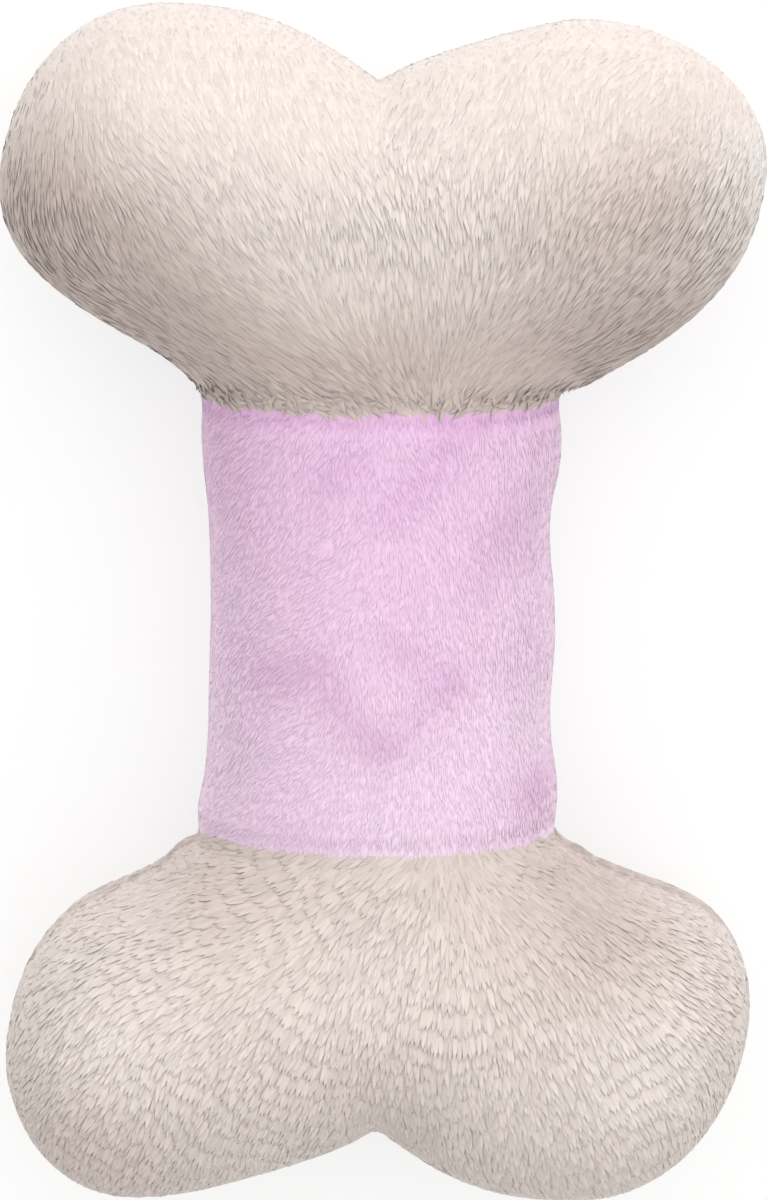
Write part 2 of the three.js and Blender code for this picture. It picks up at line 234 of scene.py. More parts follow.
def normals_of(mesh):
    """The way that the surface faces at each point of a mesh."""
    values = np.empty(len(mesh.vertices) * 3, np.float32)
    mesh.vertex_normals.foreach_get("vector", values)
    return values.reshape(-1, 3).astype(float)


def set_points(mesh, points):
    """Moves a mesh's points."""
    mesh.vertices.foreach_set("co", np.asarray(points, np.float32).ravel())
    mesh.update()


def panel_numbers(mesh):
    """The number of the panel that each face of a mesh belongs to."""
    values = np.empty(len(mesh.polygons), np.int32)
    mesh.attributes["panel"].data.foreach_get("value", values)
    return values


def seam_edges(mesh):
    """Edges between two panels, as {(panel, panel): [(vertex, vertex), ...]}."""
    numbers = panel_numbers(mesh)
    beside = {}
    for polygon, number in zip(mesh.polygons, numbers):
        for key in polygon.edge_keys:
            beside.setdefault(key, set()).add(int(number))
    runs = {}
    for key, owners in beside.items():
        if len(owners) > 1:
            runs.setdefault(tuple(sorted(owners)), []).append(key)
    return runs


cover_mesh = bpy.data.meshes.new("cover")
skin.to_mesh(cover_mesh)
skin.free()
cover = new_piece("cover", cover_mesh)
fit_to_rounding(cover, SUBDIVISIONS, FITTING_ROUNDS)
subdivide(cover)
set_points(cover.data, points_of(cover.data) - SKIN_DEPTH * normals_of(cover.data))
print("cover", len(cover.data.vertices), "points", {k: len(v) for k, v in seam_edges(cover.data).items()})

# %% Inflate it with cloth
FABRIC_EASE = 0.008
PRESSURE = 1500
CLOTH_FRAMES = 20
MOVE_CAP = 1.2 * MM
CALM_ROUNDS = 2
ALMOST_NOTHING = 1e-9


def calmed(mesh, values, rounds):
    """Values at a mesh's points, averaged with their neighbours a few times."""
    ends = np.empty(len(mesh.edges) * 2, np.int32)
    mesh.edges.foreach_get("vertices", ends)
    first, second = ends.reshape(-1, 2).T
    neighbours = np.bincount(ends, minlength=len(values))[:, None]
    for _ in range(rounds):
        total = np.zeros_like(values)
        np.add.at(total, first, values[second])
        np.add.at(total, second, values[first])
        values = (values + total / neighbours) / 2
    return values


before = points_of(cover.data)
pinned = {v for run in seam_edges(cover.data).values() for key in run for v in key}
cover.vertex_groups.new(name="seams").add(sorted(pinned), 1, "REPLACE")
cloth = cover.modifiers.new("cloth", "CLOTH")
settings = cloth.settings
settings.quality = 6
settings.mass = 0.05
settings.tension_stiffness = settings.compression_stiffness = 8
settings.shear_stiffness = 4
settings.bending_stiffness = 0.5
settings.shrink_min = settings.shrink_max = -FABRIC_EASE
settings.vertex_group_mass = "seams"
settings.use_pressure = True
settings.uniform_pressure_force = PRESSURE
settings.effector_weights.gravity = 0
cloth.point_cache.frame_end = CLOTH_FRAMES
for number in range(1, CLOTH_FRAMES + 1):
    bpy.context.scene.frame_set(number)
apply_modifiers(cover)
bpy.context.scene.frame_set(1)
moved = points_of(cover.data) - before
length = np.linalg.norm(moved, axis=1)
most, average = round(length.max() / MM, 2), round(length.mean() / MM, 2)
print("cloth moved points by up to", most, "mm, on average", average, "mm")
moved *= np.minimum(1, MOVE_CAP / np.maximum(length, ALMOST_NOTHING))[:, None]
set_points(cover.data, before + calmed(cover.data, moved, CALM_ROUNDS))

# %% [markdown]
# ## Lumps, drawn-in seams and the hand-closed side
# Fibre filling is never even, so the skin rises and falls a little in slow waves. It also rounds out the
# necks, where the shaft runs into the knobs, and the foot's shoulders hang down a little. Along a seam
# the thread pulls the fabric in. The right side is taken as the opening for the filling, sewn up by hand
# afterwards: that edge waves in and out. Where the toy lies on the floor, its weight presses it flat. All
# of these are small moves of the points.

# %% Shape the skin with small moves
LUMP_HEIGHT = 0.3 * MM
LUMP_SIZE = 20 * MM
CROSS_SEAM_DEPTH = 0.5 * MM
EDGE_SEAM_DEPTH = 0.3 * MM
SEAM_WIDTH = 2 * MM
NECK_EASE = 5 * MM
NECK_ROUNDS = 40
CLOSING_WAVE = 0.55 * MM
CLOSING_BULGE = 0.4
CLOSING_WAVE_LENGTH = 25 * MM
CLOSING_WAVE_TOP = 23.5 * MM
CLOSING_END = 12 * MM
SHOULDER_DROP = 1.8 * MM
SHOULDER_BELOW = 3.5 * MM
SHOULDER_WIDTH = 4.5 * MM
SHOULDER_EASE = 0.2
NECK_FLARE = 1.2 * MM
FLARE_ABOVE = 2 * MM
FLARE_WIDTH = 4 * MM
SKIN_REST = 0.8 * MM
HEAD_SEAM_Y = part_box("front_head_panel")[0].y
FOOT_SEAM_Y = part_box("front_foot_panel")[1].y
SEAM_Z = (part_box("back_head_panel")[1].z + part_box("front_head_panel")[0].z) / 2


def ramp(values, low, high):
    """0 below low, 1 above high, and a smooth rise between them."""
    share = np.clip((np.asarray(values, float) - low) / (high - low), 0, 1)
    return share * share * (3 - 2 * share)


def bell(values, width):
    """1 at zero, falling smoothly to almost nothing at two widths."""
    return np.exp(-(values / width) ** 2)


def waves(points, size, shift=0):
    """Slow random waves between about -1 and 1, as wide as size."""
    return np.array([noise.noise(Vector(point) / size + Vector((shift, shift, shift))) for point in points])


def pressed(heights, rest, softness):
    """Heights that ease out above a resting level instead of passing through it."""
    low = rest + softness
    eased = rest + softness * np.exp(np.minimum((heights - low) / softness, 0))
    return np.where(heights < low, eased, heights)


def seam_distance(mesh, points, pairs):
    """How far each point lies from the seams between the given pairs of panels."""
    marks = []
    for pair, keys in seam_edges(mesh).items():
        if pair in pairs:
            for a, b in keys:
                marks += [points[a] + (points[b] - points[a]) * step for step in (0, 1 / 3, 2 / 3)]
    tree = kdtree.KDTree(len(marks))
    for index, mark in enumerate(marks):
        tree.insert(mark, index)
    tree.balance()
    return np.array([tree.find(point)[2] for point in points])


CROSS_SEAMS = [(0, 2), (1, 3), (2, 4), (3, 5)]
EDGE_SEAMS = [(0, 1), (2, 3), (4, 5)]

subdivide(cover)
points = points_of(cover.data)
for neck in (HEAD_SEAM_Y, FOOT_SEAM_Y):
    eased = calmed(cover.data, points, NECK_ROUNDS) - points
    eased[:, 1] = 0
    points += bell(points[:, 1] - neck, NECK_EASE)[:, None] * eased
shaft_side = points[:, 0].max() / 2
beside = ramp(abs(points[:, 0]), (1 - SHOULDER_EASE) * shaft_side, (1 + SHOULDER_EASE) * shaft_side)
points[:, 1] -= SHOULDER_DROP * beside * bell(points[:, 1] - FOOT_SEAM_Y + SHOULDER_BELOW, SHOULDER_WIDTH)
on_left = ramp(-points[:, 0], shaft_side / 2, shaft_side)
points[:, 0] -= NECK_FLARE * on_left * bell(points[:, 1] - FOOT_SEAM_Y - FLARE_ABOVE, FLARE_WIDTH)
set_points(cover.data, points)
normals = normals_of(cover.data)
lift = LUMP_HEIGHT * waves(points, LUMP_SIZE)
lift -= CROSS_SEAM_DEPTH * bell(seam_distance(cover.data, points, CROSS_SEAMS), SEAM_WIDTH)
lift -= EDGE_SEAM_DEPTH * bell(seam_distance(cover.data, points, EDGE_SEAMS), SEAM_WIDTH)
points += lift[:, None] * normals
in_middle = ramp(np.minimum(points[:, 1] - FOOT_SEAM_Y, HEAD_SEAM_Y - points[:, 1]), 0, CLOSING_END)
wave = CLOSING_BULGE + np.cos(2 * math.pi * (points[:, 1] - CLOSING_WAVE_TOP) / CLOSING_WAVE_LENGTH)
points[:, 0] += CLOSING_WAVE * wave * in_middle * ramp(points[:, 0], shaft_side / 2, shaft_side)
points[:, 2] = pressed(points[:, 2], SKIN_REST, SKIN_REST)
set_points(cover.data, points)
print("skin", len(points), "points, size in mm", [round(side / MM, 1) for side in np.ptp(points, axis=0)])

# %% [markdown]
# ## Node helpers
# Materials and Geometry Nodes trees are built in code. A small helper adds a node, sets its options and
# fills its inputs: a plain value is typed into the socket, and another node's output is linked to it.

# %% Helpers for node trees
def add(tree, kind, inputs=None, **options):
    """Adds a node, sets its options, and types or links its inputs, which are named or numbered."""
    node = tree.nodes.new(kind)
    for name, value in options.items():
        setattr(node, name, value)
    for name, value in (inputs or {}).items():
        if isinstance(value, bpy.types.Node):
            value = value.outputs[0]
        if isinstance(value, bpy.types.NodeSocket):
            tree.links.new(value, node.inputs[name])
        else:
            node.inputs[name].default_value = value
    return node


def made(tree, kind, inputs=None, **options):
    """Adds a node in the same way and gives its first output."""
    return add(tree, kind, inputs, **options).outputs[0]


def new_material(name, roughness, **sockets):
    """A material with a Principled shader whose even values are typed into its own sockets."""
    material = bpy.data.materials.new(name)
    material.use_nodes = True
    shader = material.node_tree.nodes["Principled BSDF"]
    shader.inputs["Roughness"].default_value = roughness
    for socket, value in sockets.items():
        shader.inputs[socket.replace("_", " ")].default_value = value
    return material, material.node_tree, shader


def colour_mix(tree, share, first, second):
    """The colour between two colours."""
    return add(tree, "ShaderNodeMix", {0: share, 6: first, 7: second}, data_type="RGBA").outputs[2]


def colour_noise(tree, scale, detail=3, where=None):
    """Random values about one over scale metres wide."""
    if where is None:
        where = add(tree, "ShaderNodeTexCoord").outputs["Object"]
    return add(tree, "ShaderNodeTexNoise", {"Vector": where, "Scale": scale, "Detail": detail}).outputs["Fac"]


def stretched(tree, value, low, high, to_low=0.0, to_high=1.0):
    """A value mapped from one range to another."""
    inputs = {"Value": value, "From Min": low, "From Max": high, "To Min": to_low, "To Max": to_high}
    return made(tree, "ShaderNodeMapRange", inputs)


def add_bump(tree, shader, height, strength, distance):
    """Turns a height into a bump on a shader."""
    bump = add(tree, "ShaderNodeBump", {"Height": height, "Strength": strength, "Distance": distance})
    tree.links.new(bump.outputs["Normal"], shader.inputs["Normal"])


# %% [markdown]
# ## Plush finishes
# Plush is a knitted backing with a pile of fine fibres. Seen from a step away a lock is darker at its
# root, where light hardly reaches, and paler at its tip, and each lock has its own tone, between the two
# factors in tones. Large soft patches run cooler or warmer. The locks carry three numbers of their own
# for this: how far a point is along its lock, how far across, and the lock's tone. A fourth one paints
# shade or light into the colour: above 0 it darkens it with painted shade, and below 0 it pales it with
# painted light, for the pile leaning from or towards the light and for light and shade on the toy's
# shape. The backing shows its knitted ribs where the pile parts, and gets the same painted shade and
# light.

# %% Pile and backing materials
# Root and backing have a darker tone, painted shade deep in the pile and between locks; shaded and pale are
# painted shade and painted light, lit and shaded copies of each plush.
GREY = {
    "root": (0.71, 0.63, 0.585, 1), "tip": (0.735, 0.675, 0.645, 1),
    "cool": (0.71, 0.67, 0.655, 1), "backing": (0.72, 0.645, 0.605, 1),
    "shaded": (0.55, 0.47, 0.435, 1), "pale": (0.86, 0.82, 0.795, 1),
    "tones": (0.9, 1.06),
}
LILAC = {
    "root": (0.81, 0.575, 0.775, 1), "tip": (0.84, 0.615, 0.80, 1),
    "cool": (0.81, 0.565, 0.775, 1), "backing": (0.81, 0.575, 0.775, 1),
    "shaded": (0.69, 0.43, 0.66, 1), "pale": (0.92, 0.73, 0.885, 1),
    "tones": (0.94, 1.03),
}
PLUSH = {"grey": GREY, "lilac": LILAC}
PATCH_SHARES = {"grey": 0.6, "lilac": 0.7}
PATCHES_PER_METRE = 45
PATCH_EDGES = (0.45, 0.7)
ROOT_SHARE = 0.7
FIBRES_IN_LOCK = (5, 2, 40)
NOISE_SPREAD = (0.3, 0.7)
RIBS_PER_METRE = 830
KNIT_SPREAD = (0, 1.4)
KNIT_SHADES = (0.88, 1.0)


def with_painted_shading(tree, colour, colours):
    """A colour with painted shade where the stored number is above 0, and painted light where it is below 0.
    """
    painted_shading = add(tree, "ShaderNodeAttribute", attribute_name="painted_shading").outputs["Fac"]
    darkened = colour_mix(tree, painted_shading, colour, colours["shaded"])
    return colour_mix(tree, stretched(tree, painted_shading, 0, -1), darkened, colours["pale"])


def pile_material(name, colours, patch_share):
    """Fibres that pale towards their tips, with a tone for each lock and soft patches."""
    material, tree, shader = new_material(name, 0.8, Specular_IOR_Level=0.1)
    along = add(tree, "ShaderNodeAttribute", attribute_name="along").outputs["Fac"]
    across = add(tree, "ShaderNodeAttribute", attribute_name="across").outputs["Fac"]
    tone = add(tree, "ShaderNodeAttribute", attribute_name="tone").outputs["Fac"]
    patch = stretched(tree, colour_noise(tree, PATCHES_PER_METRE), *PATCH_EDGES, 0, patch_share)
    tip = colour_mix(tree, patch, colours["tip"], colours["cool"])
    colour = colour_mix(tree, stretched(tree, along, 0, ROOT_SHARE), colours["root"], tip)
    # Painted shade and painted light from the stored number.
    colour = with_painted_shading(tree, colour, colours)
    shade = stretched(tree, tone, 0, 1, *colours["tones"])
    toned = made(tree, "ShaderNodeVectorMath", {0: colour, "Scale": shade}, operation="SCALE")
    tree.links.new(toned, shader.inputs["Base Color"])
    where = made(tree, "ShaderNodeCombineXYZ", {"X": across, "Y": along, "Z": tone})
    spread = made(tree, "ShaderNodeVectorMath", {0: where, 1: FIBRES_IN_LOCK}, operation="MULTIPLY")
    fibres = colour_noise(tree, 1.0, 2, spread)
    tree.links.new(stretched(tree, fibres, *NOISE_SPREAD, 0.7, 0.95), shader.inputs["Roughness"])
    add_bump(tree, shader, fibres, 0.4, 0.15 * MM)
    return material


def backing_material(name, colours):
    """A knitted backing: fine ribs one way and rows the other."""
    material, tree, shader = new_material(name, 0.9, Sheen_Weight=0.2, Sheen_Roughness=0.5)
    where = add(tree, "ShaderNodeTexCoord").outputs["Object"]
    inputs = {"Vector": where, "Scale": RIBS_PER_METRE / (2 * math.pi), "Distortion": 1.5, "Detail Scale": 2}
    ribs = add(tree, "ShaderNodeTexWave", inputs, bands_direction="X").outputs["Fac"]
    rows = add(tree, "ShaderNodeTexWave", inputs, bands_direction="Y").outputs["Fac"]
    knit = made(tree, "ShaderNodeMath", {0: ribs, 1: rows}, operation="MULTIPLY")
    uneven = colour_noise(tree, 300)
    shade = stretched(tree, made(tree, "ShaderNodeMath", {0: knit, 1: uneven}), *KNIT_SPREAD, *KNIT_SHADES)
    # The backing gets the same painted shade and painted light.
    colour = with_painted_shading(tree, colours["backing"], colours)
    toned = made(tree, "ShaderNodeVectorMath", {0: colour, "Scale": shade}, operation="SCALE")
    tree.links.new(toned, shader.inputs["Base Color"])
    tree.links.new(stretched(tree, uneven, *NOISE_SPREAD, 0.8, 0.98), shader.inputs["Roughness"])
    add_bump(tree, shader, knit, 0.25, 0.2 * MM)
    return material


pile_materials, backing_materials = {}, {}
for name, colours in PLUSH.items():
    pile_materials[name] = pile_material(f"plush_{name}_pile", colours, PATCH_SHARES[name])
    backing_materials[name] = backing_material(f"plush_{name}_backing", colours)
print("plush finishes", [m.name for m in (*pile_materials.values(), *backing_materials.values())])

# %% [markdown]
# ## Six panels
# The skin is cut along its seams into the six panels that were sewn together. Each gets the thickness of
# the knitted backing, on its inner side, with closed rims at the seam. The front of the middle is made in
# an upper and a lower half, because the dent that a thumb presses into it slopes away both ways.

# %% Cut the cover into panels
BACKING = 1.3 * MM
RIM_ANGLE = math.radians(50)
THREAD_DEPTH = 2 * MM
COLOURS = ["grey", "grey", "lilac", "lilac", "grey", "grey"]
PRESSED = PANELS.index("front_middle")
MIDDLE_Y = (HEAD_SEAM_Y + FOOT_SEAM_Y) / 2


def panel_surface(number):
    """A copy of the skin that keeps one panel."""
    mesh = cover.data.copy()
    work = bmesh.new()
    work.from_mesh(mesh)
    layer = work.faces.layers.int["panel"]
    bmesh.ops.delete(work, geom=[face for face in work.faces if face[layer] != number], context="FACES")
    work.to_mesh(mesh)
    work.free()
    return mesh


def half_surface(mesh, axis, middle, side):
    """A copy of a surface that keeps the faces below (side -1) or above (side 1) the middle along an axis."""
    half = mesh.copy()
    work = bmesh.new()
    work.from_mesh(half)
    away = [face for face in work.faces if (face.calc_center_median()[axis] >= middle) != (side > 0)]
    bmesh.ops.delete(work, geom=away, context="FACES")
    work.to_mesh(half)
    work.free()
    return half


def panel_halves(number, mesh):
    """The two halves of a panel: upper and lower for the pressed one, left and right for the others."""
    if number == PRESSED:
        return {"upper": half_surface(mesh, 1, MIDDLE_Y, 1), "lower": half_surface(mesh, 1, MIDDLE_Y, -1)}
    return {"left": half_surface(mesh, 0, 0, -1), "right": half_surface(mesh, 0, 0, 1)}


def cover_parts(number, mesh):
    """The surfaces of a panel's cover: two halves for the pressed panel, and one for each other panel."""
    if number == PRESSED:
        return panel_halves(number, mesh)
    return {"whole": mesh.copy()}


def backed(name, mesh, colour):
    """A piece of cover: a surface with the thickness of the knitted backing."""
    piece = new_piece(name, mesh)
    wall = piece.modifiers.new("thickness", "SOLIDIFY")
    wall.thickness = BACKING
    wall.offset = -1
    apply_modifiers(piece)
    smooth_shaded(piece.data, backing_materials[colour])
    piece.data.set_sharp_from_angle(angle=RIM_ANGLE)
    return piece


def smooth_shaded(mesh, material):
    """Gives a mesh smooth shading and one material."""
    mesh.polygons.foreach_set("use_smooth", [True] * len(mesh.polygons))
    mesh.materials.clear()
    mesh.materials.append(material)


def seam_paths(mesh, pair):
    """The seams between two panels as runs of points, each in order, moved in from the skin to the thread."""
    beside = {}
    for a, b in seam_edges(mesh)[pair]:
        beside.setdefault(a, []).append(b)
        beside.setdefault(b, []).append(a)
    inside = points_of(mesh) - THREAD_DEPTH * normals_of(mesh)
    ends = sorted((v for v in beside if len(beside[v]) == 1), key=lambda v: tuple(inside[v]))
    paths = []
    while ends:
        path = [ends.pop(0)]
        onward = beside[path[0]]
        while onward:
            path.append(onward[0])
            onward = [v for v in beside[path[-1]] if v != path[-2]]
        ends.remove(path[-1])
        paths.append(inside[path])
    return paths


head_edge, = seam_paths(cover.data, (0, 1))
foot_edge, = seam_paths(cover.data, (4, 5))
left_side, right_side = seam_paths(cover.data, (2, 3))
front_upper, = seam_paths(cover.data, (0, 2))
back_upper, = seam_paths(cover.data, (1, 3))
front_lower, = seam_paths(cover.data, (2, 4))
back_lower, = seam_paths(cover.data, (3, 5))
surfaces = [panel_surface(number) for number in range(len(PANELS))]
crown = points_of(surfaces[PRESSED])[:, 2].max()
covers = []
for number, name in enumerate(PANELS):
    parts = cover_parts(number, surfaces[number])
    covers.append([backed(f"{name}_{part}_cover", mesh, COLOURS[number]) for part, mesh in parts.items()])
bpy.data.objects.remove(cover)
areas = [sum(face.area for face in mesh.polygons) for mesh in surfaces]
print("panel areas in square mm", {name: round(area / MM**2) for name, area in zip(PANELS, areas)})

# %% [markdown]
# ## Which way the pile lies
# Plush has a lie: stroked one way it is smooth. On the head end the pile runs down and draws together at
# the middle of the seam. On the foot end it fans out from its seam, in rows like shingles. On the lilac
# middle it lies downwards, slanting on the left. Each function here takes the points of a panel and gives
# that direction, or the rows and how clearly the pile stands in them.

# %% Lie and rows of the pile
HEAD_MEETING = np.array([6, 22]) * MM
HEAD_PLUNGE, HEAD_PLUNGE_Y = 0.9, (34 * MM, 58 * MM)
RIGHT_LOBE_SHARE, RIGHT_LOBE_X = 0.2, (16 * MM, 34 * MM)
LEFT_LOBE_X, LEFT_LOBE_Y = (32 * MM, 46 * MM), (44 * MM, 56 * MM)
FOOT_SOURCE = np.array([8, -22]) * MM
FOOT_PLUNGE, FOOT_PLUNGE_Y = 0.6, (38 * MM, 56 * MM)
MIDDLE_SLANT, MIDDLE_SLANT_X = 0.65, (-4 * MM, 14 * MM)
ROW_SPACING = 2.4 * MM
ROW_WANDER, ROW_WANDER_SIZE = 1.1, 9 * MM
ROW_CLEAR, ROW_CLEAR_SIZE, ROW_CLEAR_EDGE = 0.6, 12 * MM, 0.3
DOWN = np.array([0, -1])


def unit(vectors):
    """Vectors of length one."""
    return vectors / np.maximum(np.linalg.norm(vectors, axis=1), ALMOST_NOTHING)[:, None]


def head_lie(points):
    """Down, and towards the middle of the upper seam."""
    x, y = points[:, 0], points[:, 1]
    inwards = unit(HEAD_MEETING - points[:, :2])
    on_right = 1 - (1 - RIGHT_LOBE_SHARE) * ramp(x, *RIGHT_LOBE_X)
    plunge = HEAD_PLUNGE * ramp(y, *HEAD_PLUNGE_Y) * on_right
    outwards = -ramp(-x, *LEFT_LOBE_X) * ramp(y, *LEFT_LOBE_Y)
    return inwards + plunge[:, None] * DOWN + np.stack([outwards, 0 * y], axis=1)


def foot_lie(points):
    """Away from a point under the lower seam, and down."""
    outwards = unit(points[:, :2] - FOOT_SOURCE)
    plunge = FOOT_PLUNGE * ramp(-points[:, 1], *FOOT_PLUNGE_Y)
    return outwards + plunge[:, None] * DOWN


def middle_lie(points):
    """Downwards, slanting to the left on the left half."""
    slant = -MIDDLE_SLANT * ramp(-points[:, 0], *MIDDLE_SLANT_X)
    return np.stack([slant, np.full(len(points), -1.0)], axis=1)


def no_rows(points):
    """Pile that stands anywhere."""
    zeros = np.zeros(len(points))
    return zeros, zeros


def foot_rows(points):
    """Rows around the foot's source, counted outwards, and how clearly they show."""
    away = np.linalg.norm(points[:, :2] - FOOT_SOURCE, axis=1)
    row = away / ROW_SPACING + ROW_WANDER * waves(points, ROW_WANDER_SIZE, 5)
    clear = ROW_CLEAR * ramp(waves(points, ROW_CLEAR_SIZE, 9), -ROW_CLEAR_EDGE, ROW_CLEAR_EDGE)
    return row, clear


print("lies", [lie.__name__ for lie in (head_lie, middle_lie, foot_lie)])

# %% [markdown]
# ## Painted light and shade on the pile
# Plush looks darker where its pile leans away from the light and paler where it leans towards it; that is
# called the nap. Here the colour paints it in, together with other light and shade on the toy's shape:
# painted shade on the lower head and in spots over the lobes, a painted shadow under the head's pile, a
# painted shade line along the edge seams, and painted light on the crown and at the edges. Fingers have
# left marks in the short lilac pile, and these are painted as shade too. Each point stores the painted
# shading as a number: above 0 it darkens the finish, and below 0 it pales it. Soft round spots and
# strokes are enough for this, and a picture isn't needed. The pile also gets shorter near the edges. The
# last cell stores all of this at each panel's points, with the lie turned a little by slow noise.

# %% Painted light and shade, and length of the pile
EDGE_REACH, EDGE_SLOPES = 0.5, (0.1, 0.7)
CROWN_REACH, CROWN_Y = 0.6, (50 * MM, 68 * MM)
SEAM_REACH = 0.45
FRINGE, FRINGE_SLACK = 4 * MM, 0.1 * MM
# A painted shade line along the edge seams.
SEAM_PAINTED_SHADE, SEAM_PAINTED_SHADE_WIDTH = 0.6, 1.5 * MM
# Head end: painted shade lightly all over and more on its lower part, painted light on the crown.
HEAD_PAINTED_SHADE, LOW_PAINTED_SHADE, CROWN_PAINTED_LIGHT = 0.15, 0.9, -0.15
LOW_Y = (29 * MM, 47 * MM)
# Soft spots of painted shade on the lobes, and one of painted light at the right edge.
HEAD_LIGHT_AND_SHADE_SPOTS = [
    (-37, 47, 13, 0.85), (-42, 54, 8, 0.4), (-24, 42, 9, 0.35), (-38, 34, 8, 0.3), (34, 34, 10, 0.3),
    (34, 54, 9, 0.55), (24, 47, 11, 0.45), (45, 55, 6, -0.7), (0, 32, 7, 0.25),
]
# Foot end: painted shade all over, more towards its upper part and in soft spots; spots below 0 are painted
# light.
FOOT_PAINTED_SHADE, FOOT_TOP_PAINTED_SHADE, FOOT_TOP_Y = 0.3, 0.25, (-42 * MM, -30 * MM)
FOOT_LIGHT_AND_SHADE_SPOTS = [
    (26, -36, 11, 0.6), (-20, -34, 7, 0.2), (2, -64, 9, 0.2), (-34, -64, 9, 0.35), (-34, -50, 9, -0.35),
    (33, -54, 9, -0.4),
]
# Middle: painted light all over, a painted shadow under the head's pile, and painted shade growing towards
# the top.
MIDDLE_PAINTED_LIGHT = -0.4
UNDER_HEAD_PAINTED_SHADOW, UNDER_HEAD_Y = 0.8, (HEAD_SEAM_Y - 3.5 * MM, HEAD_SEAM_Y - 0.5 * MM)
UPPER_PAINTED_SHADE, UPPER_Y = 0.65, (-18 * MM, 8 * MM)
TOP_PAINTED_SHADE, TOP_Y = 0.1, (6 * MM, 22 * MM)
# Finger marks in the lilac pile are real; here they are painted as shade along strokes.
FINGER_MARK_SHADES = [
    ((-6, 19), (-3, 21), 2.6, 0.4), ((1, 15), (12, 27), 2.6, 0.4), ((12, 6), (16, 16), 2.6, 0.25),
    ((-13, -5), (-7, -4), 2.6, 0.65), ((-5, -8), (0, -14), 2.6, 0.65), ((1, -13), (9, -6), 2.4, 0.5),
    ((2, -1), (8, -5), 2.4, 0.4), ((19, -21), (20, -19), 3, 0.9),
]
# Places of painted light in the lilac pile.
PAINTED_LIGHT_PLACES = [
    (17, 3, 6, -0.4), (15, -10, 6, -0.3), (-17, 4, 8, -0.3), (19, 20, 6, -0.4), (4, -24, 9, -0.2),
]


def spots(points, places):
    """Soft round spots: each has a middle and a radius in millimetres, and a strength."""
    total = np.zeros(len(points))
    for x, y, radius, strength in places:
        away = np.hypot(points[:, 0] / MM - x, points[:, 1] / MM - y)
        total += strength * np.exp(-(away / radius) ** 2)
    return total


def strokes(points, marks):
    """Soft strokes of a finger: each has two ends and a width in millimetres, and a strength."""
    total = np.zeros(len(points))
    for start, end, width, strength in marks:
        along = np.subtract(end, start)
        from_start = points[:, :2] / MM - start
        place = np.clip(from_start @ along / (along @ along), 0, 1)
        away = np.linalg.norm(from_start - place[:, None] * along, axis=1)
        total += strength * np.exp(-(away / width) ** 2)
    return total


def head_crown(points):
    """1 on the crown of the head end, and 0 below it."""
    return ramp(points[:, 1], *CROWN_Y)


def fringe(points):
    """1 at the lower edge of the head end's pile, and 0 above it and on the middle."""
    above_seam = points[:, 1] - HEAD_SEAM_Y
    return np.where(above_seam > -FRINGE_SLACK, 1 - ramp(above_seam, 0, FRINGE), 0)


def head_painted_shading(points):
    """Painted shade lightly over the head end, more on its lower part and in soft spots on the lobes, and
    painted light on the crown and in one spot at the right edge.
    """
    low = 1 - ramp(points[:, 1], *LOW_Y)
    return HEAD_PAINTED_SHADE + LOW_PAINTED_SHADE * low + CROWN_PAINTED_LIGHT * head_crown(points) + spots(points, HEAD_LIGHT_AND_SHADE_SPOTS)


def foot_painted_shading(points):
    """Painted shade over the foot end, more on its upper part, in its upper right and along its lower edge,
    with two spots of painted light at the sides.
    """
    return FOOT_PAINTED_SHADE + FOOT_TOP_PAINTED_SHADE * ramp(points[:, 1], *FOOT_TOP_Y) + spots(points, FOOT_LIGHT_AND_SHADE_SPOTS)


def middle_painted_shading(points):
    """Finger marks painted as shade, places of painted light, painted shade growing upwards, a painted shadow
    below the head's pile, and painted light over the rest.
    """
    y = points[:, 1]
    marks = strokes(points, FINGER_MARK_SHADES) + spots(points, PAINTED_LIGHT_PLACES)
    shadow_under_head = UNDER_HEAD_PAINTED_SHADOW * ramp(y, *UNDER_HEAD_Y)
    upper = UPPER_PAINTED_SHADE * ramp(y, *UPPER_Y) + TOP_PAINTED_SHADE * ramp(y, *TOP_Y)
    return marks + shadow_under_head + upper + MIDDLE_PAINTED_LIGHT


def near_edge(normals):
    """1 where a panel turns down to its edge seam, and 0 where it faces up or down."""
    return 1 - ramp(abs(normals[:, 2]), *EDGE_SLOPES)


def reach_of(points, normals):
    """The pile is shorter near an edge seam, on the crown of the head end, and in its fringe."""
    at_edge = 1 - (1 - EDGE_REACH) * near_edge(normals)
    at_crown = 1 - (1 - CROWN_REACH) * head_crown(points)
    at_seam = 1 - (1 - SEAM_REACH) * fringe(points)
    return at_edge * at_crown * at_seam


def painted_shading_of(mesh, painted_shading, edge_painted_light):
    """The painted shading at each point of a mesh: painted light at the edges, and a painted shade line along
    the edge seams.
    """
    points = points_of(mesh)
    seam_shade = SEAM_PAINTED_SHADE * bell(points[:, 2] - SEAM_Z, SEAM_PAINTED_SHADE_WIDTH)
    return np.clip(painted_shading(points) + seam_shade - edge_painted_light * near_edge(normals_of(mesh)), -1, 1)


# %% Store it all on the panels
SWIRL_SIZE = 11 * MM
STEEPEST = -0.5
# The last number of each entry is how much painted light the edges get.
LIES = [
    (head_lie, no_rows, head_painted_shading, 0.4, 0.2),
    (middle_lie, no_rows, middle_painted_shading, 0.5, 0.5),
    (foot_lie, foot_rows, foot_painted_shading, 0.35, 0.4),
]


def store(mesh, name, values):
    """Stores one number or one vector for each point of a mesh."""
    values = np.asarray(values, np.float32)
    vector = values.ndim == 2
    attribute = mesh.attributes.new(name, "FLOAT_VECTOR" if vector else "FLOAT", "POINT")
    attribute.data.foreach_set("vector" if vector else "value", values.ravel())


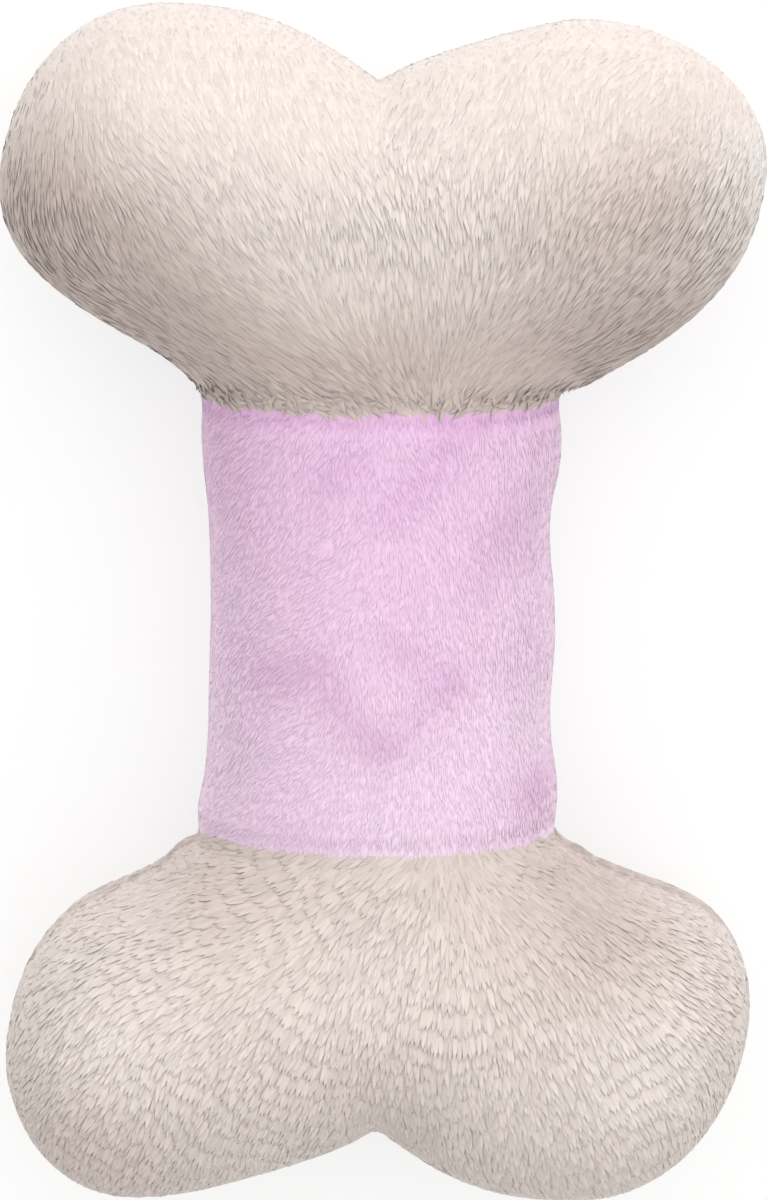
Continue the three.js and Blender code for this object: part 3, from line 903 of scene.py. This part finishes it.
def lay_pile(mesh, side, lie, rows, painted_shading, swirl, edge_painted_light):
    """Stores the lie, rows, reach and painted light and shade of the pile on a front (side 1) or back (side
    -1) panel.
    """
    points, normals = points_of(mesh), normals_of(mesh)
    flat = unit(lie(points))
    turn = swirl * waves(points, SWIRL_SIZE, 3)
    x = flat[:, 0] * np.cos(turn) - flat[:, 1] * np.sin(turn)
    y = flat[:, 0] * np.sin(turn) + flat[:, 1] * np.cos(turn)
    slope = normals * (1, 1, 0)
    towards = x * slope[:, 0] + y * slope[:, 1]
    flow = np.stack([x, y, -side * towards], axis=1)
    flow -= (towards / (1 + np.maximum(side * normals[:, 2], STEEPEST)))[:, None] * slope
    store(mesh, "flow", unit(flow))
    row, clear = rows(points)
    store(mesh, "row", row)
    store(mesh, "clear", clear)
    store(mesh, "reach", reach_of(points, normals))
    store(mesh, "tousle", fringe(points))
    # Painted shade and painted light for each point.
    store(mesh, "painted_shading", painted_shading_of(mesh, painted_shading, edge_painted_light))


for number, mesh in enumerate(surfaces):
    lie, rows, painted_shading, swirl, edge_painted_light = LIES[number // 2]
    lay_pile(mesh, -1 if number % 2 else 1, lie, rows, painted_shading, swirl, edge_painted_light)
    # The covers get the same painted shade and painted light.
    for piece in covers[number]:
        store(piece.data, "painted_shading", painted_shading_of(piece.data, painted_shading, edge_painted_light))
print("pile laid on", len(surfaces), "panels")

# %% [markdown]
# ## Pile
# A particle system would be lost when the model leaves Blender, and a bump cannot give the soft outline
# of plush. So Geometry Nodes scatter real locks: points are spread over a panel, and on each one stands a
# tuft of thin tapered blades that leans along the lie, bends back to the skin and has its own size, twist
# and tone. A lock has only some dozens of faces, because there are thousands of them.

# %% Build the pile's node tree
BLADE_GATHER = 0.09
BLADE_FULLNESS = 1.9
TOUSLE_RISE = 0.3
TOUSLE_DISORDER = 0.8
TWIST = 0.25
LOCK_SIZES = (0.75, 1.15)


def pile_tree(name, blades, sides, steps, thickness):
    """A tree that scatters tufts over a panel; blades holds each blade's place across and its length."""
    tree = bpy.data.node_groups.new(name, "GeometryNodeTree")
    face = tree.interface
    face.new_socket("Geometry", in_out="INPUT", socket_type="NodeSocketGeometry")
    face.new_socket("Geometry", in_out="OUTPUT", socket_type="NodeSocketGeometry")
    for socket in ("Density", "Spacing", "Length", "Width", "Rise", "Curl", "Disorder"):
        face.new_socket(socket, in_out="INPUT", socket_type="NodeSocketFloat")
    face.new_socket("Seed", in_out="INPUT", socket_type="NodeSocketInt")
    face.new_socket("Material", in_out="INPUT", socket_type="NodeSocketMaterial")
    given = add(tree, "NodeGroupInput").outputs
    result = add(tree, "NodeGroupOutput")

    def sum_of(a, b):
        return made(tree, "ShaderNodeMath", {0: a, 1: b})

    def product(a, b):
        return made(tree, "ShaderNodeMath", {0: a, 1: b}, operation="MULTIPLY")

    def scaled(vector, factor):
        return made(tree, "ShaderNodeVectorMath", {0: vector, "Scale": factor}, operation="SCALE")

    def vector_sum(a, b):
        return made(tree, "ShaderNodeVectorMath", {0: a, 1: b})

    def random(low, high, seed_step):
        seed = sum_of(given["Seed"], seed_step)
        return add(tree, "FunctionNodeRandomValue", {2: low, 3: high, "Seed": seed}).outputs[1]

    def stored(geometry, attribute, value, **options):
        named = {0: geometry, "Name": attribute, "Value": value}
        return made(tree, "GeometryNodeStoreNamedAttribute", named, **options)

    def read(attribute, **options):
        return made(tree, "GeometryNodeInputNamedAttribute", {"Name": attribute}, **options)

    cone = {"Vertices": sides, "Side Segments": steps, "Radius Top": 0.0, "Radius Bottom": 1.0, "Depth": 1.0}
    blade = add(tree, "GeometryNodeMeshCone", cone).outputs["Mesh"]
    place = add(tree, "ShaderNodeSeparateXYZ", {0: add(tree, "GeometryNodeInputPosition")}).outputs
    blade = stored(blade, "along", place["Z"])
    blade = stored(blade, "across", place["X"])
    girth = product(sum_of(product(place["Z"], BLADE_FULLNESS), 1.0), product(given["Width"], 0.5))
    bend = product(product(product(place["Z"], place["Z"]), given["Curl"]), product(given["Length"], -1.0))
    formed = made(tree, "ShaderNodeCombineXYZ", {
        "X": product(place["X"], girth),
        "Y": sum_of(product(product(place["Y"], girth), thickness), bend),
        "Z": product(place["Z"], given["Length"]),
    })
    blade = made(tree, "GeometryNodeSetPosition", {"Geometry": blade, "Position": formed})
    tuft = add(tree, "GeometryNodeJoinGeometry")
    for side, length in blades:
        aside = made(tree, "ShaderNodeCombineXYZ", {"X": product(given["Width"], side)})
        copy = made(tree, "GeometryNodeTransform", {
            "Geometry": blade, "Translation": aside, "Rotation": (0, -BLADE_GATHER * side, 0),
            "Scale": (1, 1, length),
        })
        tree.links.new(copy, tuft.inputs[0])

    spread = add(tree, "GeometryNodeDistributePointsOnFaces", {
        "Mesh": given["Geometry"], "Distance Min": given["Spacing"], "Density Max": given["Density"],
        "Seed": given["Seed"],
    }, distribute_method="POISSON")
    flow = read("flow", data_type="FLOAT_VECTOR")
    row, clear = read("row"), read("clear")
    nearest = made(tree, "ShaderNodeMath", {0: row}, operation="ROUND")
    to_row = made(tree, "ShaderNodeMath", {0: nearest, 1: row}, operation="SUBTRACT")
    shift = scaled(flow, product(product(to_row, clear), ROW_SPACING))
    moved = {"Geometry": spread.outputs["Points"], "Offset": shift}
    standing = made(tree, "GeometryNodeSetPosition", moved)
    strays = {"X": random(-1, 1, 1), "Y": random(-1, 1, 2), "Z": random(-1, 1, 3)}
    stray = made(tree, "ShaderNodeCombineXYZ", strays)
    normal = spread.outputs["Normal"]
    reach, tousle = read("reach"), read("tousle")
    rise = sum_of(product(product(given["Rise"], reach), reach), product(tousle, TOUSLE_RISE))
    disorder = sum_of(given["Disorder"], product(tousle, TOUSLE_DISORDER))
    sideways = made(tree, "ShaderNodeVectorMath", {0: normal, 1: stray}, operation="CROSS_PRODUCT")
    lean = vector_sum(vector_sum(flow, scaled(sideways, disorder)), scaled(normal, rise))
    turned = made(
        tree, "FunctionNodeAxesToRotation", {"Primary Axis": lean, "Secondary Axis": normal},
        primary_axis="Z", secondary_axis="Y",
    )
    angle = {"Axis": (0, 0, 1), "Angle": random(-TWIST, TWIST, 4)}
    twist = made(tree, "FunctionNodeAxisAngleToRotation", angle)
    turned = made(tree, "FunctionNodeRotateRotation", {0: turned, 1: twist}, rotation_space="LOCAL")
    size = random(*LOCK_SIZES, 5)
    sizes = made(tree, "ShaderNodeCombineXYZ", {"X": size, "Y": size, "Z": product(size, reach)})
    locks = made(tree, "GeometryNodeInstanceOnPoints", {
        "Points": standing, "Instance": tuft.outputs[0], "Rotation": turned, "Scale": sizes,
    })
    locks = stored(locks, "tone", random(0, 1, 6), domain="INSTANCE")
    locks = stored(locks, "skin_normal", normal, domain="INSTANCE", data_type="FLOAT_VECTOR")
    real = made(tree, "GeometryNodeRealizeInstances", {0: locks})
    smooth = made(tree, "GeometryNodeSetShadeSmooth", {0: real})
    done = made(tree, "GeometryNodeSetMaterial", {"Geometry": smooth, "Material": given["Material"]})
    tree.links.new(done, result.inputs[0])
    return tree


TUFT = [(-0.55, 0.86), (0.0, 1.0), (0.55, 0.93)]
ONE_BLADE = [(0.0, 1.0)]
long_pile = pile_tree("long_pile", TUFT, sides=3, steps=2, thickness=0.12)
short_pile = pile_tree("short_pile", ONE_BLADE, sides=3, steps=2, thickness=0.12)
tufted_pile = pile_tree("tufted_pile", ONE_BLADE, sides=5, steps=3, thickness=0.22)
trees = [long_pile, long_pile, short_pile, short_pile, tufted_pile, tufted_pile]
print("pile trees", {tree.name: len(tree.nodes) for tree in trees})

# %% Grow the pile
PER_SQUARE_MM = 1 / MM**2
HEAD_PILE = {
    "Density": 1.9 * PER_SQUARE_MM, "Spacing": 0.4 * MM, "Length": 3.3 * MM, "Width": 0.36 * MM,
    "Rise": 0.06, "Curl": 0.03, "Disorder": 0.12,
}
FOOT_PILE = {
    "Density": 2.6 * PER_SQUARE_MM, "Spacing": 0.4 * MM, "Length": 2.5 * MM, "Width": 0.64 * MM,
    "Rise": 0.09, "Curl": 0.01, "Disorder": 0.12,
}
MIDDLE_PILE = {
    "Density": 7 * PER_SQUARE_MM, "Spacing": 0.2 * MM, "Length": 1.3 * MM, "Width": 0.3 * MM,
    "Rise": 0.1, "Curl": 0.0, "Disorder": 0.14,
}
PILES = [HEAD_PILE, HEAD_PILE, MIDDLE_PILE, MIDDLE_PILE, FOOT_PILE, FOOT_PILE]
PILE_REST = 0.1 * MM
PILE_SOFTNESS = 0.7 * MM
SKIN_SHADING = 0.72
FIRST_SEED = 11
USED_UP = ("flow", "row", "clear", "reach", "tousle", "skin_normal")


def triangles(mesh):
    """How many triangles a mesh has."""
    return sum(len(polygon.vertices) - 2 for polygon in mesh.polygons)


def set_inputs(modifier, values):
    """Types a tree's inputs into its modifier, by the identifiers of the sockets."""
    for socket in modifier.node_group.interface.items_tree:
        if socket.in_out == "INPUT" and socket.name in values:
            modifier[socket.identifier] = values[socket.name]


def soften_shading(mesh):
    """Turns the shading normals of the locks towards the skin's, as light spreads in a bed of fine fibres."""
    skin_normals = np.empty(len(mesh.vertices) * 3, np.float32)
    mesh.attributes["skin_normal"].data.foreach_get("vector", skin_normals)
    reach = np.empty(len(mesh.vertices), np.float32)
    mesh.attributes["reach"].data.foreach_get("value", reach)
    own = ((1 - SKIN_SHADING) * reach)[:, None]
    mixed = (1 - own) * skin_normals.reshape(-1, 3) + own * normals_of(mesh)
    mesh.normals_split_custom_set_from_vertices(unit(mixed))


def grown_pile(name, mesh, number):
    """A piece of pile on a panel's surface, pressed flat where it lies on the floor."""
    piece = new_piece(name, mesh)
    grow = piece.modifiers.new("pile", "NODES")
    grow.node_group = trees[number]
    finish = pile_materials[COLOURS[number]]
    set_inputs(grow, {**PILES[number], "Seed": FIRST_SEED + number, "Material": finish})
    apply_modifiers(piece)
    points = points_of(piece.data)
    points[:, 2] = pressed(points[:, 2], PILE_REST, PILE_SOFTNESS)
    set_points(piece.data, points)
    soften_shading(piece.data)
    for attribute in USED_UP:
        piece.data.attributes.remove(piece.data.attributes[attribute])
    return piece


piles = []
for number, name in enumerate(PANELS):
    halves = panel_halves(number, surfaces[number])
    piles.append([grown_pile(f"{name}_{part}_pile", mesh, number) for part, mesh in halves.items()])
print("pile triangles", {piece.name: triangles(piece.data) for pair in piles for piece in pair})

# %% [markdown]
# ## Stitches
# The panels are sewn right sides together and turned, so the thread lies just inside each seam. A machine
# seam is a row of short stitches end to end. The opening on the right was closed by hand, with longer
# slanting stitches. A tree walks along each seam and sets one stitch after another: a barrel of twisted
# thread that dips into the cloth at both ends.

# %% Thread material and stitch tree
THREAD = {"grey": (0.62, 0.55, 0.50, 1), "lilac": (0.72, 0.47, 0.67, 1)}
TWISTS_PER_METRE = 2600
TOPS_PALER, HOLLOW_PAINTED_SHADE = 1.2, 0.75
TWIST_SHADE_SPREAD = 0.6
STITCH_TAPER = 2.4


def thread_material(name, colour):
    """Twisted thread: fine slanting strands, with painted shade in their hollows and paler, patchy tops."""
    material, tree, shader = new_material(name, 0.6, Sheen_Weight=0.3, Sheen_Roughness=0.3)
    where = add(tree, "ShaderNodeTexCoord").outputs["Object"]
    inputs = {"Vector": where, "Scale": TWISTS_PER_METRE / (2 * math.pi), "Distortion": 0.6}
    strands = add(tree, "ShaderNodeTexWave", inputs, bands_direction="DIAGONAL").outputs["Fac"]
    patchy = colour_noise(tree, 700)
    # The twist is paler on its tops and has painted shade in its hollows.
    pale = tuple(min(1, part * TOPS_PALER) for part in colour[:3]) + (1,)
    hollow_shade = tuple(part * HOLLOW_PAINTED_SHADE for part in colour[:3]) + (1,)
    shade = made(tree, "ShaderNodeMath", {0: strands, 1: patchy}, operation="MULTIPLY")
    tone = colour_mix(tree, stretched(tree, shade, 0, TWIST_SHADE_SPREAD), hollow_shade, pale)
    tree.links.new(tone, shader.inputs["Base Color"])
    tree.links.new(stretched(tree, patchy, *NOISE_SPREAD, 0.5, 0.75), shader.inputs["Roughness"])
    add_bump(tree, shader, strands, 0.5, 0.08 * MM)
    return material


def stitch_tree():
    """A tree that sets stitches along a path."""
    tree = bpy.data.node_groups.new("stitches", "GeometryNodeTree")
    face = tree.interface
    face.new_socket("Geometry", in_out="INPUT", socket_type="NodeSocketGeometry")
    face.new_socket("Geometry", in_out="OUTPUT", socket_type="NodeSocketGeometry")
    for socket in ("Spacing", "Length", "Thickness", "Slant"):
        face.new_socket(socket, in_out="INPUT", socket_type="NodeSocketFloat")
    face.new_socket("Material", in_out="INPUT", socket_type="NodeSocketMaterial")
    given = add(tree, "NodeGroupInput").outputs

    def product(a, b):
        return made(tree, "ShaderNodeMath", {0: a, 1: b}, operation="MULTIPLY")

    barrel = {"Vertices": 6, "Side Segments": 5, "Radius": 0.5, "Depth": 1.0}
    stitch = add(tree, "GeometryNodeMeshCylinder", barrel).outputs["Mesh"]
    place = add(tree, "ShaderNodeSeparateXYZ", {0: add(tree, "GeometryNodeInputPosition")}).outputs
    far = product(place["Z"], place["Z"])
    narrowed = made(tree, "ShaderNodeMath", {0: 1.0, 1: product(far, STITCH_TAPER)}, operation="SUBTRACT")
    girth = product(narrowed, given["Thickness"])
    formed = made(tree, "ShaderNodeCombineXYZ", {
        "X": product(place["X"], girth),
        "Y": product(place["Y"], girth),
        "Z": product(place["Z"], given["Length"]),
    })
    stitch = made(tree, "GeometryNodeSetPosition", {"Geometry": stitch, "Position": formed})
    path = made(tree, "GeometryNodeMeshToCurve", {0: given["Geometry"]})
    steps = {"Curve": path, "Length": given["Spacing"]}
    path = made(tree, "GeometryNodeResampleCurve", steps, mode="LENGTH")
    turned = made(
        tree, "FunctionNodeAxesToRotation",
        {"Primary Axis": add(tree, "GeometryNodeInputTangent"), "Secondary Axis": (0, 0, 1)},
        primary_axis="Z", secondary_axis="Y",
    )
    angle = {"Axis": (1, 0, 0), "Angle": given["Slant"]}
    slant = made(tree, "FunctionNodeAxisAngleToRotation", angle)
    turned = made(tree, "FunctionNodeRotateRotation", {0: turned, 1: slant}, rotation_space="LOCAL")
    row = made(tree, "GeometryNodeInstanceOnPoints", {"Points": path, "Instance": stitch, "Rotation": turned})
    real = made(tree, "GeometryNodeRealizeInstances", {0: row})
    smooth = made(tree, "GeometryNodeSetShadeSmooth", {0: real})
    done = made(tree, "GeometryNodeSetMaterial", {"Geometry": smooth, "Material": given["Material"]})
    tree.links.new(done, add(tree, "NodeGroupOutput").inputs[0])
    return tree


# %% Sew the seams
MACHINE = {"Spacing": 2.5 * MM, "Length": 2.4 * MM, "Thickness": 0.5 * MM, "Slant": 0.0}
BY_HAND = {"Spacing": 3.4 * MM, "Length": 3.6 * MM, "Thickness": 0.6 * MM, "Slant": math.radians(38)}
SEAMS = {
    "head_edge": (head_edge, MACHINE, "grey"), "foot_edge": (foot_edge, MACHINE, "grey"),
    "left_side": (left_side, MACHINE, "lilac"), "right_closing": (right_side, BY_HAND, "lilac"),
    "front_upper_cross": (front_upper, MACHINE, "lilac"), "back_upper_cross": (back_upper, MACHINE, "lilac"),
    "front_lower_cross": (front_lower, MACHINE, "lilac"), "back_lower_cross": (back_lower, MACHINE, "lilac"),
}
sewing = stitch_tree()
thread_materials = {name: thread_material("thread_" + name, colour) for name, colour in THREAD.items()}
stitches = {}
for name, (path, sizes, colour) in SEAMS.items():
    line = bpy.data.meshes.new(name + "_line")
    line.from_pydata([tuple(point) for point in path], [(i, i + 1) for i in range(len(path) - 1)], [])
    piece = new_piece(name + "_stitches", line)
    sew = piece.modifiers.new("stitches", "NODES")
    sew.node_group = sewing
    set_inputs(sew, {**sizes, "Material": thread_materials[colour]})
    apply_modifiers(piece)
    stitches[name] = piece
print("stitch triangles", {name: triangles(piece.data) for name, piece in stitches.items()})

# %% [markdown]
# ## Filling
# The filling is loose polyester fibre, pushed in by the handful. It never shows, but whoever opens the
# toy finds it. Each handful starts from its solid, is remeshed into even faces, and is lumped by two
# sizes of noise: one for wads, one for strands. The material is a white fuzz with fine streaks.

# %% Lump the handfuls of fibre
FILLING_VOXEL = 2 * MM
WAD_SIZE, WAD_HEIGHT = 6 * MM, 0.35 * MM
STRAND_SIZE, STRAND_HEIGHT = 1.4 * MM, 0.15 * MM
FIBRE_IN_PAINTED_SHADE, LOOSE_FIBRE = (0.74, 0.74, 0.75, 1), (0.88, 0.88, 0.87, 1)
NOISE_MIDDLE = (0.35, 0.65)
FILLINGS = [
    "head_left_knob", "head_right_knob", "head_neck", "foot_left_knob", "foot_right_knob", "foot_neck",
    "shaft", "front_pad",
]


def fibre_material():
    """White fuzz with fine streaks and soft greyer patches of painted shade."""
    material, tree, shader = new_material("fibre_fuzz", 0.9, Sheen_Weight=0.5, Sheen_Roughness=0.5)
    wads = colour_noise(tree, 160)
    streaks = colour_noise(tree, 1100, 4)
    # Greyer patches are painted shade, spread by noise.
    colour = colour_mix(tree, stretched(tree, wads, *NOISE_MIDDLE), FIBRE_IN_PAINTED_SHADE, LOOSE_FIBRE)
    tree.links.new(colour, shader.inputs["Base Color"])
    tree.links.new(stretched(tree, streaks, *NOISE_SPREAD, 0.8, 1), shader.inputs["Roughness"])
    add_bump(tree, shader, streaks, 0.7, 0.3 * MM)
    return material


def merged_copy(node_name, piece_name):
    """A new piece with a copy of a node's mesh whose loose triangles are joined."""
    mesh = nodes[node_name].data.copy()
    work = bmesh.new()
    work.from_mesh(mesh)
    bmesh.ops.remove_doubles(work, verts=work.verts, dist=TINY)
    work.to_mesh(mesh)
    work.free()
    return new_piece(piece_name, mesh)


fuzz = fibre_material()
fillings = {}
for name in FILLINGS:
    piece = merged_copy(name + "_filling", name + "_fibre")
    remesh = piece.modifiers.new("even", "REMESH")
    remesh.mode = "VOXEL"
    remesh.voxel_size = FILLING_VOXEL
    subdivide(piece)
    points, normals = points_of(piece.data), normals_of(piece.data)
    lift = WAD_HEIGHT * waves(points, WAD_SIZE, 17) + STRAND_HEIGHT * waves(points, STRAND_SIZE, 23)
    set_points(piece.data, points + lift[:, None] * normals)
    smooth_shaded(piece.data, fuzz)
    fillings[name] = piece
print("filling triangles", {name: triangles(piece.data) for name, piece in fillings.items()})

# %% [markdown]
# ## Squeaker
# The squeaker is a blown bulb of soft milky plastic with a pleated wall, and a reed insert of hard
# plastic with a thin film tongue. The rigid pieces keep their solids and get their finishes. The pleated
# wall folds when the toy is squeezed; here it becomes a smoothed copy with the milky finish.

# %% Squeaker finishes
GRAIN_ROUGHNESS = 0.08


def plastic_material(name, low, high, roughness, **sockets):
    """Moulded plastic with faint flow marks and fine grain."""
    material, tree, shader = new_material(name, roughness, **sockets)
    flow_marks = colour_noise(tree, 260)
    grain = colour_noise(tree, 2500, 2)
    colour = colour_mix(tree, stretched(tree, flow_marks, *NOISE_MIDDLE), low, high)
    tree.links.new(colour, shader.inputs["Base Color"])
    shine = (roughness - GRAIN_ROUGHNESS, roughness + GRAIN_ROUGHNESS)
    tree.links.new(stretched(tree, grain, *NOISE_SPREAD, *shine), shader.inputs["Roughness"])
    add_bump(tree, shader, grain, 0.15, 0.05 * MM)
    return material


milky = plastic_material(
    "milky_bulb_plastic", (0.78, 0.79, 0.78, 1), (0.88, 0.88, 0.86, 1), 0.42,
    Subsurface_Weight=0.2, Subsurface_Scale=2 * MM,
)
hard = plastic_material("hard_reed_plastic", (0.70, 0.71, 0.70, 1), (0.82, 0.82, 0.80, 1), 0.35)
film = plastic_material("reed_film", (0.62, 0.66, 0.68, 1), (0.74, 0.77, 0.78, 1), 0.18, Coat_Weight=0.3)
FINISHES = {
    "squeaker_base": milky, "squeaker_crown": milky,
    "reed_sleeve": hard, "reed_bed": hard, "reed_tongue": film,
}
for name, material in FINISHES.items():
    node = nodes[name]
    node.data.materials.clear()
    node.data.materials.append(material)
bellows = merged_copy("squeaker_bellows", "squeaker_pleats")
subdivide(bellows)
smooth_shaded(bellows.data, milky)
print("squeaker pleats", triangles(bellows.data), "triangles")

# %% [markdown]
# ## What moves with what
# The head and foot ends bend at the necks, and the front of the middle dents under a thumb; here the
# covers, pile, edge stitches and filling of the ends, and the front of the middle, only get their places
# baked into their meshes. The back of the middle, the other stitches, the shaft's fibre and the pleats stay
# with the shaft, and the fibre of the front pad goes with the press pad.


def bend_head(piece):
    """A piece of the head end gets its place baked into its mesh."""
    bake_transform(piece)


def bend_foot(piece):
    """A piece of the foot end gets its place baked into its mesh."""
    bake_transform(piece)


def stay(piece):
    """A piece stays with the shaft."""
    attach(piece, "shaft")


def dent(piece):
    """A piece of the pressed panel gets its place baked into its mesh."""
    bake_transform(piece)


def flatten(piece):
    """A soft piece that stays with the shaft and gets its own copy of its mesh."""
    stay(piece)
    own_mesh(piece)


PANEL_MOVES = [bend_head, bend_head, dent, stay, bend_foot, bend_foot]
for number, name in enumerate(PANELS):
    for piece in covers[number]:
        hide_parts(name + "_panel")
    for piece in (*covers[number], *piles[number]):
        PANEL_MOVES[number](piece)
for name, piece in stitches.items():
    {"head_edge": bend_head, "foot_edge": bend_foot}.get(name, stay)(piece)
    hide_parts(name + "_thread")
for name, piece in fillings.items():
    if name == "front_pad":
        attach(piece, "press_pad")
    elif name == "shaft":
        flatten(piece)
    else:
        {"head": bend_head, "foot": bend_foot}[name.split("_")[0]](piece)
    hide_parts(name + "_filling")
flatten(bellows)
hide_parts("squeaker_bellows")

# %% [markdown]
# ## Floor and light
# A soft lamp above the head end lights the toy as in a product picture, with a weak one from the front
# and pale light all round. The floor looks white to the camera but still takes the toy's shadow: its
# shader mixes a lit white surface with plain white that only direct views, mirrors and glass see.

# %% Make the floor and the lamps
FLOOR_SIZE = 3.0
SHADOW_SHARE = 0.3
FLOOR_TONES = (0.93, 0.93, 0.93, 1), (0.95, 0.95, 0.95, 1)
WHITE = (1, 1, 1, 1)
ROOM_COLOUR, ROOM_LIGHT = (1.0, 0.985, 0.97, 1), 0.62


def seen_directly(tree):
    """1 for rays from the camera, from mirrors and through glass, and 0 for the rest."""
    rays = add(tree, "ShaderNodeLightPath").outputs
    direct = {0: rays["Is Camera Ray"], 1: rays["Is Glossy Ray"]}
    seen = made(tree, "ShaderNodeMath", direct, operation="MAXIMUM")
    return made(tree, "ShaderNodeMath", {0: seen, 1: rays["Is Transmission Ray"]}, operation="MAXIMUM")


def floor_material():
    """White for direct views, with a share of lit white surface that carries shadows."""
    material = bpy.data.materials.new("white_floor")
    material.use_nodes = True
    tree = material.node_tree
    tree.nodes.clear()
    grain = colour_noise(tree, 90)
    lit_colour = colour_mix(tree, grain, *FLOOR_TONES)
    lit = add(tree, "ShaderNodeBsdfDiffuse", {"Color": lit_colour})
    plain = add(tree, "ShaderNodeEmission", {"Color": WHITE, "Strength": 1.0})
    shares = {0: seen_directly(tree), 1: 1 - SHADOW_SHARE}
    seen = made(tree, "ShaderNodeMath", shares, operation="MULTIPLY")
    mixed = add(tree, "ShaderNodeMixShader", {0: seen, 1: lit.outputs[0], 2: plain.outputs[0]})
    add(tree, "ShaderNodeOutputMaterial", {"Surface": mixed.outputs[0]})
    return material


def lamp(name, place, aim, size, power, colour):
    """A soft square lamp that points at a place."""
    data = bpy.data.lights.new(name, "AREA")
    data.size = size
    data.energy = power
    data.color = colour
    light = bpy.data.objects.new(name, data)
    bpy.context.scene.collection.objects.link(light)
    light.location = place
    light.rotation_euler = (Vector(aim) - Vector(place)).to_track_quat("-Z", "Y").to_euler()
    return light


half = FLOOR_SIZE / 2
floor_mesh = bpy.data.meshes.new("floor")
floor_corners = [(-half, -half, 0), (half, -half, 0), (half, half, 0), (-half, half, 0)]
floor_mesh.from_pydata(floor_corners, [], [(0, 1, 2, 3)])
floor = new_piece("floor", floor_mesh)
floor_mesh.materials.append(floor_material())

world = bpy.data.worlds.new("pale_room")
bpy.context.scene.world = world
world.use_nodes = True
sky = world.node_tree
sky.nodes.clear()
room = add(sky, "ShaderNodeBackground", {"Color": ROOM_COLOUR, "Strength": ROOM_LIGHT})
white = add(sky, "ShaderNodeBackground", {"Color": WHITE, "Strength": 1.0})
both = add(sky, "ShaderNodeMixShader", {0: seen_directly(sky), 1: room.outputs[0], 2: white.outputs[0]})
add(sky, "ShaderNodeOutputWorld", {"Surface": both.outputs[0]})

toy_centre = (0, 0, SEAM_Z)
lamp("key_lamp", (0.08, 0.38, 0.50), toy_centre, size=1.0, power=4.6, colour=(1, 0.99, 0.97))
lamp("front_lamp", (0.1, -0.3, 0.5), toy_centre, size=0.5, power=0.6, colour=(0.97, 0.98, 1))
bpy.context.scene.view_settings.view_transform = "Standard"
